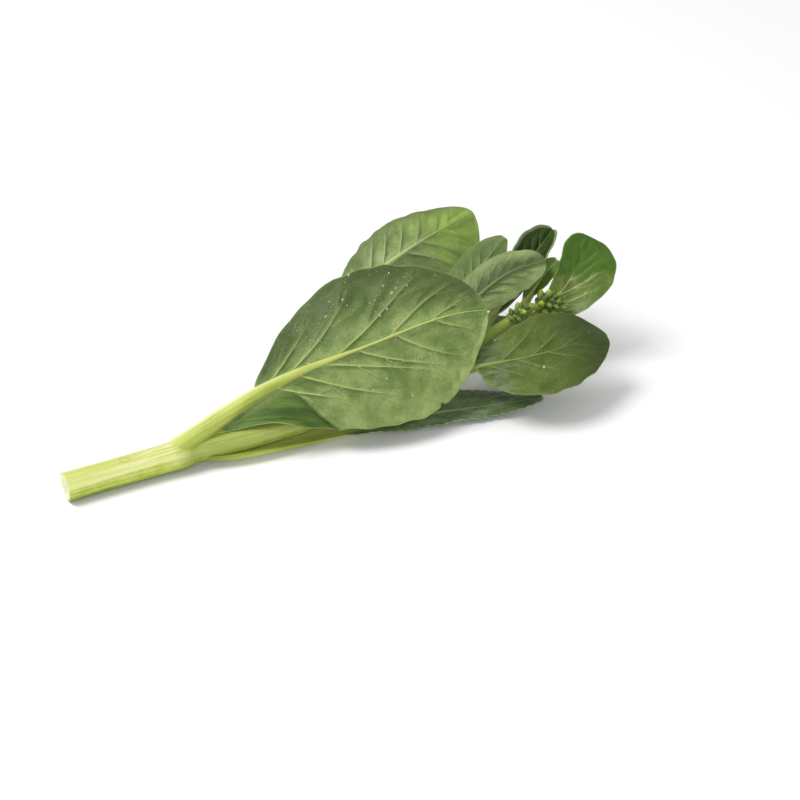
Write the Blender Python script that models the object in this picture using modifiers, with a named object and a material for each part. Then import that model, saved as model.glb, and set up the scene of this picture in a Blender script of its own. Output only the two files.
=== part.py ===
"""Choy sum: one cut flowering shoot, lying on a flat surface.

The shoot lies along +X, from its cut end at the left to its leafy tip. +Z is up and the surface is at
z = 0. The near side of the shoot is the -Y side. Sizes and places below are in millimetres, measured
from under the middle of the cut end, and are turned into metres where the meshes are made. One empty
carries every piece and puts the origin under the middle of the whole shoot.

The pieces are the ones that come apart on a kitchen board: the stem, each leaf with its own leaf
stalk, and each head of flower buds.
"""
import math
from dataclasses import dataclass

import bmesh
import bpy
import numpy as np
from mathutils import Matrix, Vector

MM = 0.001
MIDDLE_OF_SHOOT = (130.03, 15.40, 0.1)

# --- the stem -------------------------------------------------------------------------------------
CUT_RADIUS = 6.1          # the stem at its cut end is 12 mm thick
FIRST_JOINT_X = 51.0      # where the largest leaf leaves the stem
TIP_RADIUS = 2.3          # the stem just under the bud cluster
STEM_SIDES = 12
STEM_RINGS = 34
GAP = 0.3                 # between a piece and the piece that it grows from

STEM_ROUTE = [
    (0.0, 0.0, 6.2),
    (26.0, -1.2, 6.2),
    (FIRST_JOINT_X, -3.2, 6.8),
    (74.0, -8.0, 8.4),
    (102.0, -12.8, 11.4),
    (135.0, -15.5, 15.4),
    (166.0, -15.8, 20.6),
    (195.0, -13.0, 26.2),
    (219.0, -10.0, 32.0),
]
# Radius against the share of the stem's length: a slight swelling at each joint.
STEM_RADII = [
    (0.00, CUT_RADIUS),
    (0.08, 5.9),
    (0.19, 6.1),
    (0.22, 6.4),
    (0.26, 5.3),
    (0.45, 4.7),
    (0.70, 3.7),
    (0.88, 3.0),
    (1.00, TIP_RADIUS),
]

# --- the leaves -----------------------------------------------------------------------------------
BLADE_THICKNESS = 0.7
STALK_EDGE = 0.8          # thin edge that runs along both sides of a leaf stalk
RIB_TIP_SHARE = 0.16      # the midrib's width at the leaf's tip, as a share of the leaf stalk's
RIB_COLUMNS = 2           # mesh columns over half of the rib
ROUTE_STEPS = 240


@dataclass
class Leaf:
    """One leaf: a stalk that goes on as the midrib, and a blade on both sides of it."""
    name: str
    route: list           # the middle of the stalk and midrib, from inside the stem to the tip
    blade_from: tuple     # share of the route where the blade starts: near side, far side
    half_width: tuple     # widest half of the blade: near side, far side
    widest_at: tuple      # share of the blade's length where each side is widest
    stalk_half_width: float
    stalk_depth: float
    faces_up: str         # "upper" or "under": the side of the leaf that is seen from above
    tilt: tuple           # turn about the midrib at stalk, blade and tip; positive lifts the far edge
    fold: tuple           # rise of both halves from the midrib, at stalk, blade and tip
    curl: tuple           # further rise towards the edges, at stalk, blade and tip
    wave: tuple           # height of the edge's waves and how many there are
    colour: str
    rows: int = 18
    blade_columns: int = 4
    fullness: float = 0.60


LEAVES = [
    Leaf(
        name="largest_leaf",
        route=[(45, -2.8, 6.8), (56, -2, 10.6), (72, -1.2, 17.1), (88, -2.2, 24), (108, -5, 31.1),
               (138, -9, 37.1), (164, -11.2, 41.5), (180, -13, 42.4), (192, -14.5, 41)],
        blade_from=(0.15, 0.30),
        half_width=(34.7, 32.6),
        widest_at=(0.66, 0.53),
        stalk_half_width=4.3,
        stalk_depth=5.2,
        faces_up="under",
        tilt=(6, 38, 42),
        fold=(-24, -6, -4),
        curl=(0, -10, -12),
        wave=(1.2, 3.0),
        colour="#7f965b",
        rows=26,
        blade_columns=5,
    ),
    Leaf(
        name="lower_front_leaf",
        route=[(56, -4, 7), (70, -10, 6), (92, -13.5, 5), (120, -18, 4.6), (150, -23.5, 4.6),
               (176, -30.5, 4.6), (194, -36, 5.0), (207, -39.5, 5.2)],
        blade_from=(0.42, 0.46),
        half_width=(5.5, 14),
        widest_at=(0.55, 0.50),
        stalk_half_width=3.4,
        stalk_depth=3.8,
        faces_up="upper",
        tilt=(10, 6, 4),
        fold=(24, 2, 0),
        curl=(0, -22, -18),
        wave=(0.8, 4.0),
        colour="#5d704f",
    ),
    Leaf(
        name="front_oval_leaf",
        route=[(124, -14.5, 14), (143, -20.5, 18), (165, -23.5, 21.4), (186, -29, 23),
               (206, -35, 25), (224, -37.5, 26.4), (240, -38.8, 25.2)],
        blade_from=(0.49, 0.42),
        half_width=(19.5, 16),
        widest_at=(0.45, 0.62),
        stalk_half_width=2.6,
        stalk_depth=2.8,
        faces_up="under",
        tilt=(10, 27, 27),
        fold=(-20, 8, 4),
        curl=(0, 4, -14),
        wave=(1.0, 2.5),
        colour="#68793f",
    ),
    Leaf(
        name="far_leaf",
        route=[(88, -10, 10), (99, 0, 12), (120, 19, 18.5), (146, 37, 26), (176, 53, 30),
               (206, 65, 32), (240, 77.5, 31)],
        blade_from=(0.40, 0.46),
        half_width=(33.2, 19),
        widest_at=(0.70, 0.56),
        stalk_half_width=3.6,
        stalk_depth=4.0,
        faces_up="under",
        tilt=(-6, 36, 36),
        fold=(-20, -4, -4),
        curl=(0, -60, -40),
        wave=(1.2, 3.0),
        colour="#7a9450",
        rows=20,
    ),
    Leaf(
        name="back_small_leaf",
        route=[(146, -15.2, 17), (158, -7, 16), (178, 7, 18), (200, 20, 26), (218, 28, 37),
               (229, 31, 44)],
        blade_from=(0.46, 0.46),
        half_width=(8, 11),
        widest_at=(0.58, 0.58),
        stalk_half_width=2.2,
        stalk_depth=2.4,
        faces_up="under",
        tilt=(0, 14, 18),
        fold=(-16, -8, -4),
        curl=(0, -16, -20),
        wave=(0.8, 2.0),
        colour="#7d9361",
        rows=16,
    ),
    Leaf(
        name="inner_leaf",
        route=[(172, -15.5, 21.5), (183, -8, 19), (198, -3, 16), (214, 1, 13.5), (228, 5, 12)],
        blade_from=(0.36, 0.36),
        half_width=(11, 12),
        widest_at=(0.56, 0.56),
        stalk_half_width=2.0,
        stalk_depth=2.2,
        faces_up="upper",
        tilt=(0, 8, 8),
        fold=(14, 12, 8),
        curl=(0, 6, -6),
        wave=(0.6, 2.0),
        colour="#4c6334",
        rows=14,
    ),
    Leaf(
        name="pale_top_leaf",
        route=[(158, -15.5, 19.5), (170, -9, 25), (184, -2, 31), (199, 2, 38), (214, 2, 45),
               (229.5, -2, 48.5)],
        blade_from=(0.40, 0.40),
        half_width=(9.5, 11),
        widest_at=(0.66, 0.56),
        stalk_half_width=2.2,
        stalk_depth=2.4,
        faces_up="under",
        tilt=(0, 26, 30),
        fold=(-16, -8, -4),
        curl=(0, -10, -16),
        wave=(0.7, 2.0), fullness=0.46,
        colour="#84996a",
        rows=16,
    ),
    Leaf(
        name="folded_leaf",
        route=[(186, -13.5, 24.5), (198, -3, 24), (216, 8.5, 27), (234, 18, 36), (250.5, 23.5, 46)],
        blade_from=(0.34, 0.34),
        half_width=(13.5, 10),
        widest_at=(0.58, 0.70),
        stalk_half_width=1.9,
        stalk_depth=2.2,
        faces_up="upper",
        tilt=(0, 12, 10),
        fold=(16, 40, 30),
        curl=(0, 30, 20),
        wave=(0.5, 2.0),
        colour="#3f5a26",
        rows=14,
    ),
    Leaf(
        name="young_leaf",
        route=[(211, -11.2, 29.8), (217.5, -5.5, 31.5), (225, -2.5, 36.5), (232.5, -0.5, 42),
               (238, 0.5, 45.5)],
        blade_from=(0.42, 0.30),
        half_width=(4.4, 4.2),
        widest_at=(0.56, 0.56),
        stalk_half_width=1.3,
        stalk_depth=1.5,
        faces_up="upper",
        tilt=(0, 22, 26),
        fold=(14, 24, 20),
        curl=(0, 24, 20),
        wave=(0.3, 2.0),
        colour="#3f5a26",
        rows=10,
    ),
    Leaf(
        name="bright_tip_leaf",
        route=[(202, -12.5, 27.5), (213, -9, 23), (229, -6, 26), (243, -5, 38.5), (254, -2.5, 54)],
        blade_from=(0.26, 0.26),
        half_width=(15.5, 9.5),
        widest_at=(0.72, 0.86),
        stalk_half_width=2.0,
        stalk_depth=2.2,
        faces_up="upper",
        tilt=(10, 38, 42),
        fold=(16, 10, 8),
        curl=(0, 8, -6),
        wave=(0.7, 2.0),
        colour="#6a8a38",
        rows=14,
        fullness=0.36,
    ),
]

# --- the heads of flower buds ---------------------------------------------------------------------
GOLDEN_ANGLE = math.radians(137.5)
BUD_HALF_LENGTH = 2.3
BUD_HALF_WIDTH = 1.5
HEAD_CLEARANCE = 1.0      # between the stem's tip and the head that ends it
HEAD_SHARE = 0.72         # the round end that carries the buds, as a share of the head's half width
BUD_CLUSTERS = [
    # name, share of the stem where it grows, direction, length, half width, number of buds
    ("bud_cluster", 1.0, (0.90, -0.36, 0.14), 16, 4.8, 18),
    ("front_bud_cluster", 0.92, (0.78, -0.16, 0.60), 15, 3.3, 11),
]


# --- shared helpers -------------------------------------------------------------------------------
def clear_scene():
    """Remove the objects that the startup file holds."""
    for item in list(bpy.data.objects):
        bpy.data.objects.remove(item, do_unlink=True)


def shoot_empty():
    """The empty that every piece is parented to, placed so that the origin is under the middle."""
    empty = bpy.data.objects.new("shoot", None)
    empty.location = -Vector(MIDDLE_OF_SHOOT) * MM
    bpy.context.scene.collection.objects.link(empty)
    return empty


def new_collection(name):
    collection = bpy.data.collections.new(name)
    bpy.context.scene.collection.children.link(collection)
    return collection


def linear_rgba(hex_colour):
    """Turn an sRGB hex colour into the linear values that a shader takes."""
    channels = [int(hex_colour[i:i + 2], 16) / 255 for i in (1, 3, 5)]
    linear = [c / 12.92 if c <= 0.04045 else ((c + 0.055) / 1.055) ** 2.4 for c in channels]
    return (*linear, 1.0)


def principled(name, hex_colour, roughness):
    material = bpy.data.materials.new(name)
    material.use_nodes = True
    shader = material.node_tree.nodes["Principled BSDF"]
    shader.inputs["Base Color"].default_value = linear_rgba(hex_colour)
    shader.inputs["Roughness"].default_value = roughness
    shader.inputs["Metallic"].default_value = 0.0
    return material


def smooth_route(points, steps=ROUTE_STEPS):
    """Read a smooth curve through the points at equal distances along it (Catmull-Rom)."""
    knots = np.array(points, dtype=float)
    knots = np.vstack([2 * knots[0] - knots[1], knots, 2 * knots[-1] - knots[-2]])
    dense = []
    for a, b, c, d in zip(knots, knots[1:], knots[2:], knots[3:]):
        t = np.linspace(0, 1, 40, endpoint=False)[:, None]
        dense.append(0.5 * (2 * b + (c - a) * t + (2 * a - 5 * b + 4 * c - d) * t ** 2
                            + (3 * b - a - 3 * c + d) * t ** 3))
    dense = np.vstack(dense + [knots[-2][None, :]])
    run = np.concatenate([[0], np.cumsum(np.linalg.norm(np.diff(dense, axis=0), axis=1))])
    places = np.linspace(0, run[-1], steps)
    return np.column_stack([np.interp(places, run, dense[:, axis]) for axis in range(3)])


def at_share(route, share):
    """A point of an evenly spaced route at a share of its length."""
    places = np.linspace(0, 1, len(route))
    return np.array([np.interp(share, places, route[:, axis]) for axis in range(3)])


def blend(values, share):
    """Read a value given at the stalk, in the middle of the blade and at the tip."""
    return float(np.interp(share, [0.1, 0.6, 1.0], values))


# --- the stem -------------------------------------------------------------------------------------
def stem_curve(name, extra_radius, collection):
    """The stem as a bevelled curve whose radius follows the joints."""
    route = smooth_route(STEM_ROUTE)
    curve = bpy.data.curves.new(name, "CURVE")
    curve.dimensions = "3D"
    curve.bevel_depth = 1.0
    curve.bevel_resolution = (STEM_SIDES - 4) // 2
    curve.use_fill_caps = True
    spline = curve.splines.new("POLY")
    spline.points.add(STEM_RINGS - 1)
    shares, radii = zip(*STEM_RADII)
    for index, point in enumerate(spline.points):
        share = index / (STEM_RINGS - 1)
        point.co = (*(at_share(route, share) * MM), 1.0)
        point.radius = (np.interp(share, shares, radii) + extra_radius) * MM
    stem = bpy.data.objects.new(name, curve)
    collection.objects.link(stem)
    return stem


def stem_cutter(cutters):
    """The stem made thicker by the gap, as a mesh: it shapes every leaf's foot."""
    curve_object = stem_curve("stem_clearance_curve", GAP, cutters)
    bpy.context.view_layer.update()
    depsgraph = bpy.context.evaluated_depsgraph_get()
    mesh = bpy.data.meshes.new_from_object(curve_object.evaluated_get(depsgraph))
    cage = bmesh.new()
    cage.from_mesh(mesh)
    bmesh.ops.remove_doubles(cage, verts=cage.verts, dist=0.00001)
    cage.to_mesh(mesh)
    cage.free()
    cutter = bpy.data.objects.new("stem_clearance", mesh)
    cutter.matrix_world = curve_object.matrix_world
    bpy.data.objects.remove(curve_object, do_unlink=True)
    cutters.objects.link(cutter)
    cutter.hide_render = True
    cutter.display_type = "WIRE"
    return cutter


def cut_foot(piece, cutter):
    """Shape the foot of a piece to the stem, with the gap between them."""
    cut = piece.modifiers.new("foot_on_stem", "BOOLEAN")
    cut.operation = "DIFFERENCE"
    cut.solver = "EXACT"
    cut.object = cutter


# --- the leaves -----------------------------------------------------------------------------------
def rib_half_width(leaf, share):
    """Half the width of the stalk, and further on of the midrib, which thins towards the tip."""
    taper = 1 - (1 - RIB_TIP_SHARE) * share ** 1.1
    return leaf.stalk_half_width * taper


def rib_depth(leaf, share):
    """How far the stalk and midrib stand below the upper side of the leaf."""
    taper = (1 - share) ** 1.3
    return BLADE_THICKNESS + (leaf.stalk_depth - BLADE_THICKNESS) * taper


def blade_width(leaf, share, side):
    """Width of the blade beyond the rib, on the near (0) or far (1) side."""
    start = leaf.blade_from[side]
    along = min(max((share - start) / (1 - start), 0.0), 1.0)
    shape = math.sin(math.pi * along ** (math.log(0.5) / math.log(leaf.widest_at[side])))
    return STALK_EDGE + leaf.half_width[side] * max(shape, 0.0) ** leaf.fullness


def section_offset(leaf, share, distance, width):
    """Sideways and upward place of a point of a leaf's section, at a distance from the midrib."""
    fold = math.radians(blend(leaf.fold, share))
    curl = math.radians(blend(leaf.curl, share))
    end = fold + curl * distance / width
    if abs(curl) < 1e-4:
        return distance * math.cos(fold), distance * math.sin(fold)
    bend = width / curl
    return bend * (math.sin(end) - math.sin(fold)), bend * (math.cos(fold) - math.cos(end))


def edge_wave(leaf, share, across, side):
    """The waves of the blade's edge, which fade towards the midrib."""
    height, count = leaf.wave
    turn = 2 * math.pi * count * share + (0.9 if side else 2.3)
    return height * across ** 2 * math.sin(turn)


def leaf_frame(leaf, route, share):
    """Middle, sideways and upward directions of the leaf at a share of its length."""
    middle = Vector(at_share(route, share))
    step = 0.01
    ahead = Vector(at_share(route, min(share + step, 1)))
    behind = Vector(at_share(route, max(share - step, 0)))
    along = (ahead - behind).normalized()
    upward = (Vector((0, 0, 1)) - along * along.z).normalized()
    upward = Matrix.Rotation(math.radians(blend(leaf.tilt, share)), 3, along) @ upward
    return middle, upward.cross(along), upward


def leaf_point(leaf, route, share, column):
    """Place of a mesh vertex of the upper side, and the thickness of the leaf there."""
    side = 1 if column > 0 else 0
    rib = rib_half_width(leaf, share)
    width = rib + blade_width(leaf, share, side)
    reach = abs(column)
    if reach <= RIB_COLUMNS:
        distance = rib * reach / RIB_COLUMNS
    else:
        distance = rib + (width - rib) * (reach - RIB_COLUMNS) / leaf.blade_columns
    sideways, up = section_offset(leaf, share, distance, width)
    blade_share = max(0.0, (distance - rib) / max(width - rib, 1e-6))
    faded = min(1.0, blade_width(leaf, share, side) / 6)
    up += edge_wave(leaf, share, blade_share, side) * faded
    middle, across, upward = leaf_frame(leaf, route, share)
    place = middle + across * math.copysign(sideways, column) + upward * up
    round_share = math.sqrt(max(0.0, 1 - (distance / (rib * 1.02)) ** 2))
    depth = BLADE_THICKNESS + (rib_depth(leaf, share) - BLADE_THICKNESS) * round_share
    return place, depth


def make_leaf(leaf, parts, cutter):
    """A grid shaped into the leaf's upper side, made solid towards its underside."""
    half_columns = RIB_COLUMNS + leaf.blade_columns
    route = smooth_route(leaf.route)
    sheet = bmesh.new()
    bmesh.ops.create_grid(sheet, x_segments=leaf.rows, y_segments=2 * half_columns, size=1)
    depths = {}
    for vertex in sheet.verts:
        share = math.sin(math.pi / 2 * (vertex.co.x + 1) / 2)
        column = round(vertex.co.y * half_columns)
        vertex.co, depths[vertex.index] = leaf_point(leaf, route, share, column)
        vertex.co *= MM
    if leaf.faces_up == "under":
        bmesh.ops.reverse_faces(sheet, faces=sheet.faces)
    mesh = bpy.data.meshes.new(leaf.name)
    sheet.to_mesh(mesh)
    sheet.free()
    piece = bpy.data.objects.new(leaf.name, mesh)
    parts.objects.link(piece)
    mesh.materials.append(principled(leaf.name, leaf.colour, 0.5))
    deepest = max(depths.values())
    flesh = piece.vertex_groups.new(name="flesh")
    for index, depth in depths.items():
        flesh.add([index], depth / deepest, "REPLACE")
    solid = piece.modifiers.new("thickness", "SOLIDIFY")
    solid.thickness = deepest * MM
    solid.offset = -1
    solid.vertex_group = "flesh"
    cut_foot(piece, cutter)
    return piece


# --- the heads of flower buds ---------------------------------------------------------------------
def add_ellipsoid(cage, centre, axis, half_length, half_width, segments, rings):
    """A closed egg shape whose long axis follows the given direction."""
    turn = axis.to_track_quat("Z", "Y").to_matrix().to_4x4()
    stretch = Matrix.Diagonal((half_width, half_width, half_length, 1))
    place = Matrix.Translation(centre) @ turn @ stretch
    bmesh.ops.create_uvsphere(cage, u_segments=segments, v_segments=rings, radius=MM, matrix=place)


def mesh_object(name, cage, collection):
    mesh = bpy.data.meshes.new(name)
    cage.to_mesh(mesh)
    cage.free()
    item = bpy.data.objects.new(name, mesh)
    collection.objects.link(item)
    return item


def cluster_core(name, foot, axis, length, half_width, parts):
    """The short stalk of the head and the round end that carries the buds, as one turned cone."""
    cage = bmesh.new()
    turn = axis.to_track_quat("Z", "Y").to_matrix().to_4x4()
    stalk = length * 0.9
    place = Matrix.Translation(foot + axis * stalk / 2 * MM) @ turn
    bmesh.ops.create_cone(cage, cap_ends=True, segments=10, radius1=1.2 * MM,
                          radius2=half_width * 0.62 * MM, depth=stalk * MM, matrix=place)
    return mesh_object(name, cage, parts)


def joined_piece(name, centre, axis, half_length, half_width, segments, buds):
    """One round shape of a head, kept as a hidden object that the union reads."""
    cage = bmesh.new()
    add_ellipsoid(cage, centre, axis, half_length, half_width, segments, segments - 2)
    piece = mesh_object(name, cage, buds)
    piece.hide_render = True
    piece.display_type = "WIRE"


def cluster_buds(name, foot, axis, length, half_width, count, cutters):
    """The buds, on a golden-angle spiral around the head, as one collection to be joined on."""
    buds = bpy.data.collections.new(name + "_buds")
    cutters.children.link(buds)
    head = foot + axis * (length - half_width * 0.9) * MM
    head_radius = half_width * HEAD_SHARE
    joined_piece(name + "_head", head, axis, head_radius, head_radius, 9, buds)
    across = axis.orthogonal().normalized()
    for index in range(count):
        share = (index + 0.5) / count
        lean = math.radians(78) * math.sqrt(1 - share)
        turned = Matrix.Rotation(index * GOLDEN_ANGLE, 3, axis) @ across
        direction = (axis * math.cos(lean) + turned * math.sin(lean)).normalized()
        centre = head + direction * half_width * MM
        bud_name = f"{name}_bud_{index + 1}"
        joined_piece(bud_name, centre, direction, BUD_HALF_LENGTH, BUD_HALF_WIDTH, 7, buds)
    return buds


def make_bud_cluster(name, share, axis, length, half_width, count, parts, cutters, stem):
    axis = Vector(axis).normalized()
    foot = Vector(at_share(smooth_route(STEM_ROUTE), share)) * MM
    if share == 1.0:
        foot += axis * HEAD_CLEARANCE * MM
    core = cluster_core(name, foot, axis, length, half_width, parts)
    core.data.materials.append(principled(name, "#8fa83f", 0.5))
    join = core.modifiers.new("buds_on_head", "BOOLEAN")
    join.operation = "UNION"
    join.solver = "EXACT"
    join.operand_type = "COLLECTION"
    join.collection = cluster_buds(name, foot, axis, length, half_width, count, cutters)
    join.use_self = True
    cut_foot(core, stem)
    return core


def main():
    clear_scene()
    parts = new_collection("choy_sum")
    cutters = new_collection("cutters")
    stem = stem_curve("main_stem", 0.0, parts)
    stem.data.materials.append(principled("main_stem", "#b9c46a", 0.45))
    cutter = stem_cutter(cutters)
    for leaf in LEAVES:
        make_leaf(leaf, parts, cutter)
    for cluster in BUD_CLUSTERS:
        make_bud_cluster(*cluster, parts, cutters, cutter)
    shoot = shoot_empty()
    for item in [*parts.all_objects, *cutters.all_objects]:
        item.parent = shoot


main()
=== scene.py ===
# %% [markdown]
# # A cut shoot of choy sum
#
# The shoot lies on a pale table: one fleshy stem, ten leaves with their own leaf stalks, and two
# heads of closed flower buds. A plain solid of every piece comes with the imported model. This script
# gives each of them its finished surface, in the same place and at the same size, and then lights
# the whole. The leaves' formulas and skins work in millimetres, because greens are easily imagined at
# that size. Blender counts in metres, so a mesh is scaled down when it is made.

# %% The frame
import math
from dataclasses import dataclass, field

import bmesh
import bpy
import numpy as np
from mathutils import Matrix, Vector


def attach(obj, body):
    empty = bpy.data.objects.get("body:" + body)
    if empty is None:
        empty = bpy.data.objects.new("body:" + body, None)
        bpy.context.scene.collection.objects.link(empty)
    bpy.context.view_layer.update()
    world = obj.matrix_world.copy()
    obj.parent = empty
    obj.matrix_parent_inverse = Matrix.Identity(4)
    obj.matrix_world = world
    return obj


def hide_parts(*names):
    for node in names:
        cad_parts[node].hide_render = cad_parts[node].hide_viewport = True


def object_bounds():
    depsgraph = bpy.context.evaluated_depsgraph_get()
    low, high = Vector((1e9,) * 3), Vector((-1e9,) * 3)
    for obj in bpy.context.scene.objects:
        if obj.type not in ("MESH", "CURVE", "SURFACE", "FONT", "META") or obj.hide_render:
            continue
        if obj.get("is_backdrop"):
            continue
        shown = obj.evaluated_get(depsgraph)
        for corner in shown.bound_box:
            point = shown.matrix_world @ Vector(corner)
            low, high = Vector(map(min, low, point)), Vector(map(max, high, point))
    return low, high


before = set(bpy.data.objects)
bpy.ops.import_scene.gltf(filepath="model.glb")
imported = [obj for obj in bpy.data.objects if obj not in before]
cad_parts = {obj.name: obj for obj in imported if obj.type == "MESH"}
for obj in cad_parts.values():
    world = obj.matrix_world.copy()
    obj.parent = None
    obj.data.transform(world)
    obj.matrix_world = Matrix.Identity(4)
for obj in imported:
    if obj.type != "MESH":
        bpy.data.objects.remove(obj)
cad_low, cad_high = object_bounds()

MM = 0.001                # metres in a millimetre
MIDDLE_OF_SHOOT = np.array([130.03, 15.40, 0.1])    # in mm; the solids have it at the origin
print("solids from the frame:", len(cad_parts), "box in mm:",
      [round(c / MM, 1) for c in (*cad_low, *cad_high)])

# %% [markdown]
# ## Colours and nodes
#
# A colour picked from a swatch is stored in sRGB, but a shader adds up light, so it wants linear
# numbers. One function does that change. Another adds a node of any kind to a tree: it sets the
# node's own settings, then fills its inputs with values or with links. It serves the materials and
# the Geometry Nodes trees alike, so every tree below reads as a list of steps, and each line says by
# its real name which node it adds. The node to look up first is Map Range, which turns a measure,
# such as the distance to the leaf's edge, into the strength of a colour or a bump.


# %% Helpers for colours and node trees
def linear(hex_colour):
    """Turn an sRGB hex colour into the linear RGBA that a shader takes."""
    channels = [int(hex_colour[i:i + 2], 16) / 255 for i in (1, 3, 5)]
    return (*[c / 12.92 if c <= 0.04045 else ((c + 0.055) / 1.055) ** 2.4 for c in channels], 1.0)


def deeper(hex_colour, share):
    """The same colour with only a share of its light."""
    return (*[c * share for c in linear(hex_colour)[:3]], 1.0)


def add(tree, kind, *inputs, out=0, **settings):
    """Add a node with its settings, fill its inputs by values or links, and give one output.

    The inputs come in their order, or as one dict by name or number where some are left out.
    """
    node = tree.nodes.new(kind)
    for name, value in settings.items():
        setattr(node, name, value)
    filled = inputs[0] if inputs and isinstance(inputs[0], dict) else dict(enumerate(inputs))
    for name, value in filled.items():
        if isinstance(value, bpy.types.NodeSocket):
            tree.links.new(value, node.inputs[name])
        else:
            node.inputs[name].default_value = value
    return node.outputs[out]


def new_material(name, **sockets):
    """A material with one Principled shader, whose uniform values are set on its own sockets."""
    material = bpy.data.materials.new(name)
    material.use_nodes = True
    shader = material.node_tree.nodes["Principled BSDF"]
    for socket, value in sockets.items():
        shader.inputs[socket.replace("_", " ")].default_value = value
    return material, material.node_tree, shader


# Settings that many nodes share: a Map Range that eases in and out, and a Mix that blends colours.
SMOOTH = {"interpolation_type": "SMOOTHSTEP"}
COLOURS = {"data_type": "RGBA", "out": 2}
print("white in linear numbers:", linear("#ffffff"))

# %% [markdown]
# ## The plan of the shoot
#
# Every leaf is grown from one rule. A smooth route runs through its stalk and midrib, and a blade
# spreads to both sides of it. The numbers are those of the solids, so that each finished leaf lies
# in the space that its solid holds: where the blade starts, how wide it gets and where, how the leaf
# is turned, folded and curled, and how its edge waves. What is added here is the fine structure:
# where the side veins leave the midrib, how much the skin bulges between them, and the edge.


# %% What describes a leaf
@dataclass
class Leaf:
    """One leaf: a stalk that goes on as the midrib, and a blade on both sides of it."""
    name: str
    route: list           # the middle of the stalk and midrib, from inside the stem to the tip
    blade_from: tuple     # share of the route where the blade starts: near side, far side
    half_width: tuple     # widest half of the blade: near side, far side
    widest_at: tuple      # share of the blade's length where each side is widest
    stalk_half_width: float
    stalk_depth: float
    faces_up: str         # "upper" or "under": the side of the leaf that is seen from above
    tilt: tuple           # turn about the midrib at stalk, blade and tip; positive lifts the far edge
    fold: tuple           # rise of both halves from the midrib, at stalk, blade and tip
    curl: tuple           # further rise towards the edges, at stalk, blade and tip
    wave: tuple           # height of the edge's waves and how many there are
    vein_rule: tuple = (6, 30, 46)  # side veins on each half, their angle at the midrib and at the edge
    side_veins: list = field(default_factory=list)      # drawn one by one, in place of the rule
    pucker: float = 0.6   # how far the skin bulges between the veins
    vein_step: float = 0.25         # how much lower it lies on the shaded side of a vein
    teeth: tuple = (9.0, 0.5)       # spacing and depth of the edge's shallow teeth
    rows: int = 150       # mesh rows along the leaf
    blade_columns: int = 30         # mesh columns over each half of the blade
    fullness: float = 0.60          # lower is rounder, higher is more pointed
    rib_reach: float = 0.42         # how far into the blade the stalk keeps its width
    foot_flare: float = 0.15        # how much wider the stalk gets where it clasps the stem
    dents: list = field(default_factory=list)           # small bites: side, place along, depth
    far_shade: tuple = ()           # how much painted shade darkens the far edge, over how many mm
    waists: list = field(default_factory=list)          # slimmer parts: side, full until, from, share
    pleat: tuple = ()     # a step across the near half: two points on the flat leaf, its height


print("a leaf is described by", len(Leaf.__dataclass_fields__), "values")

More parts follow.
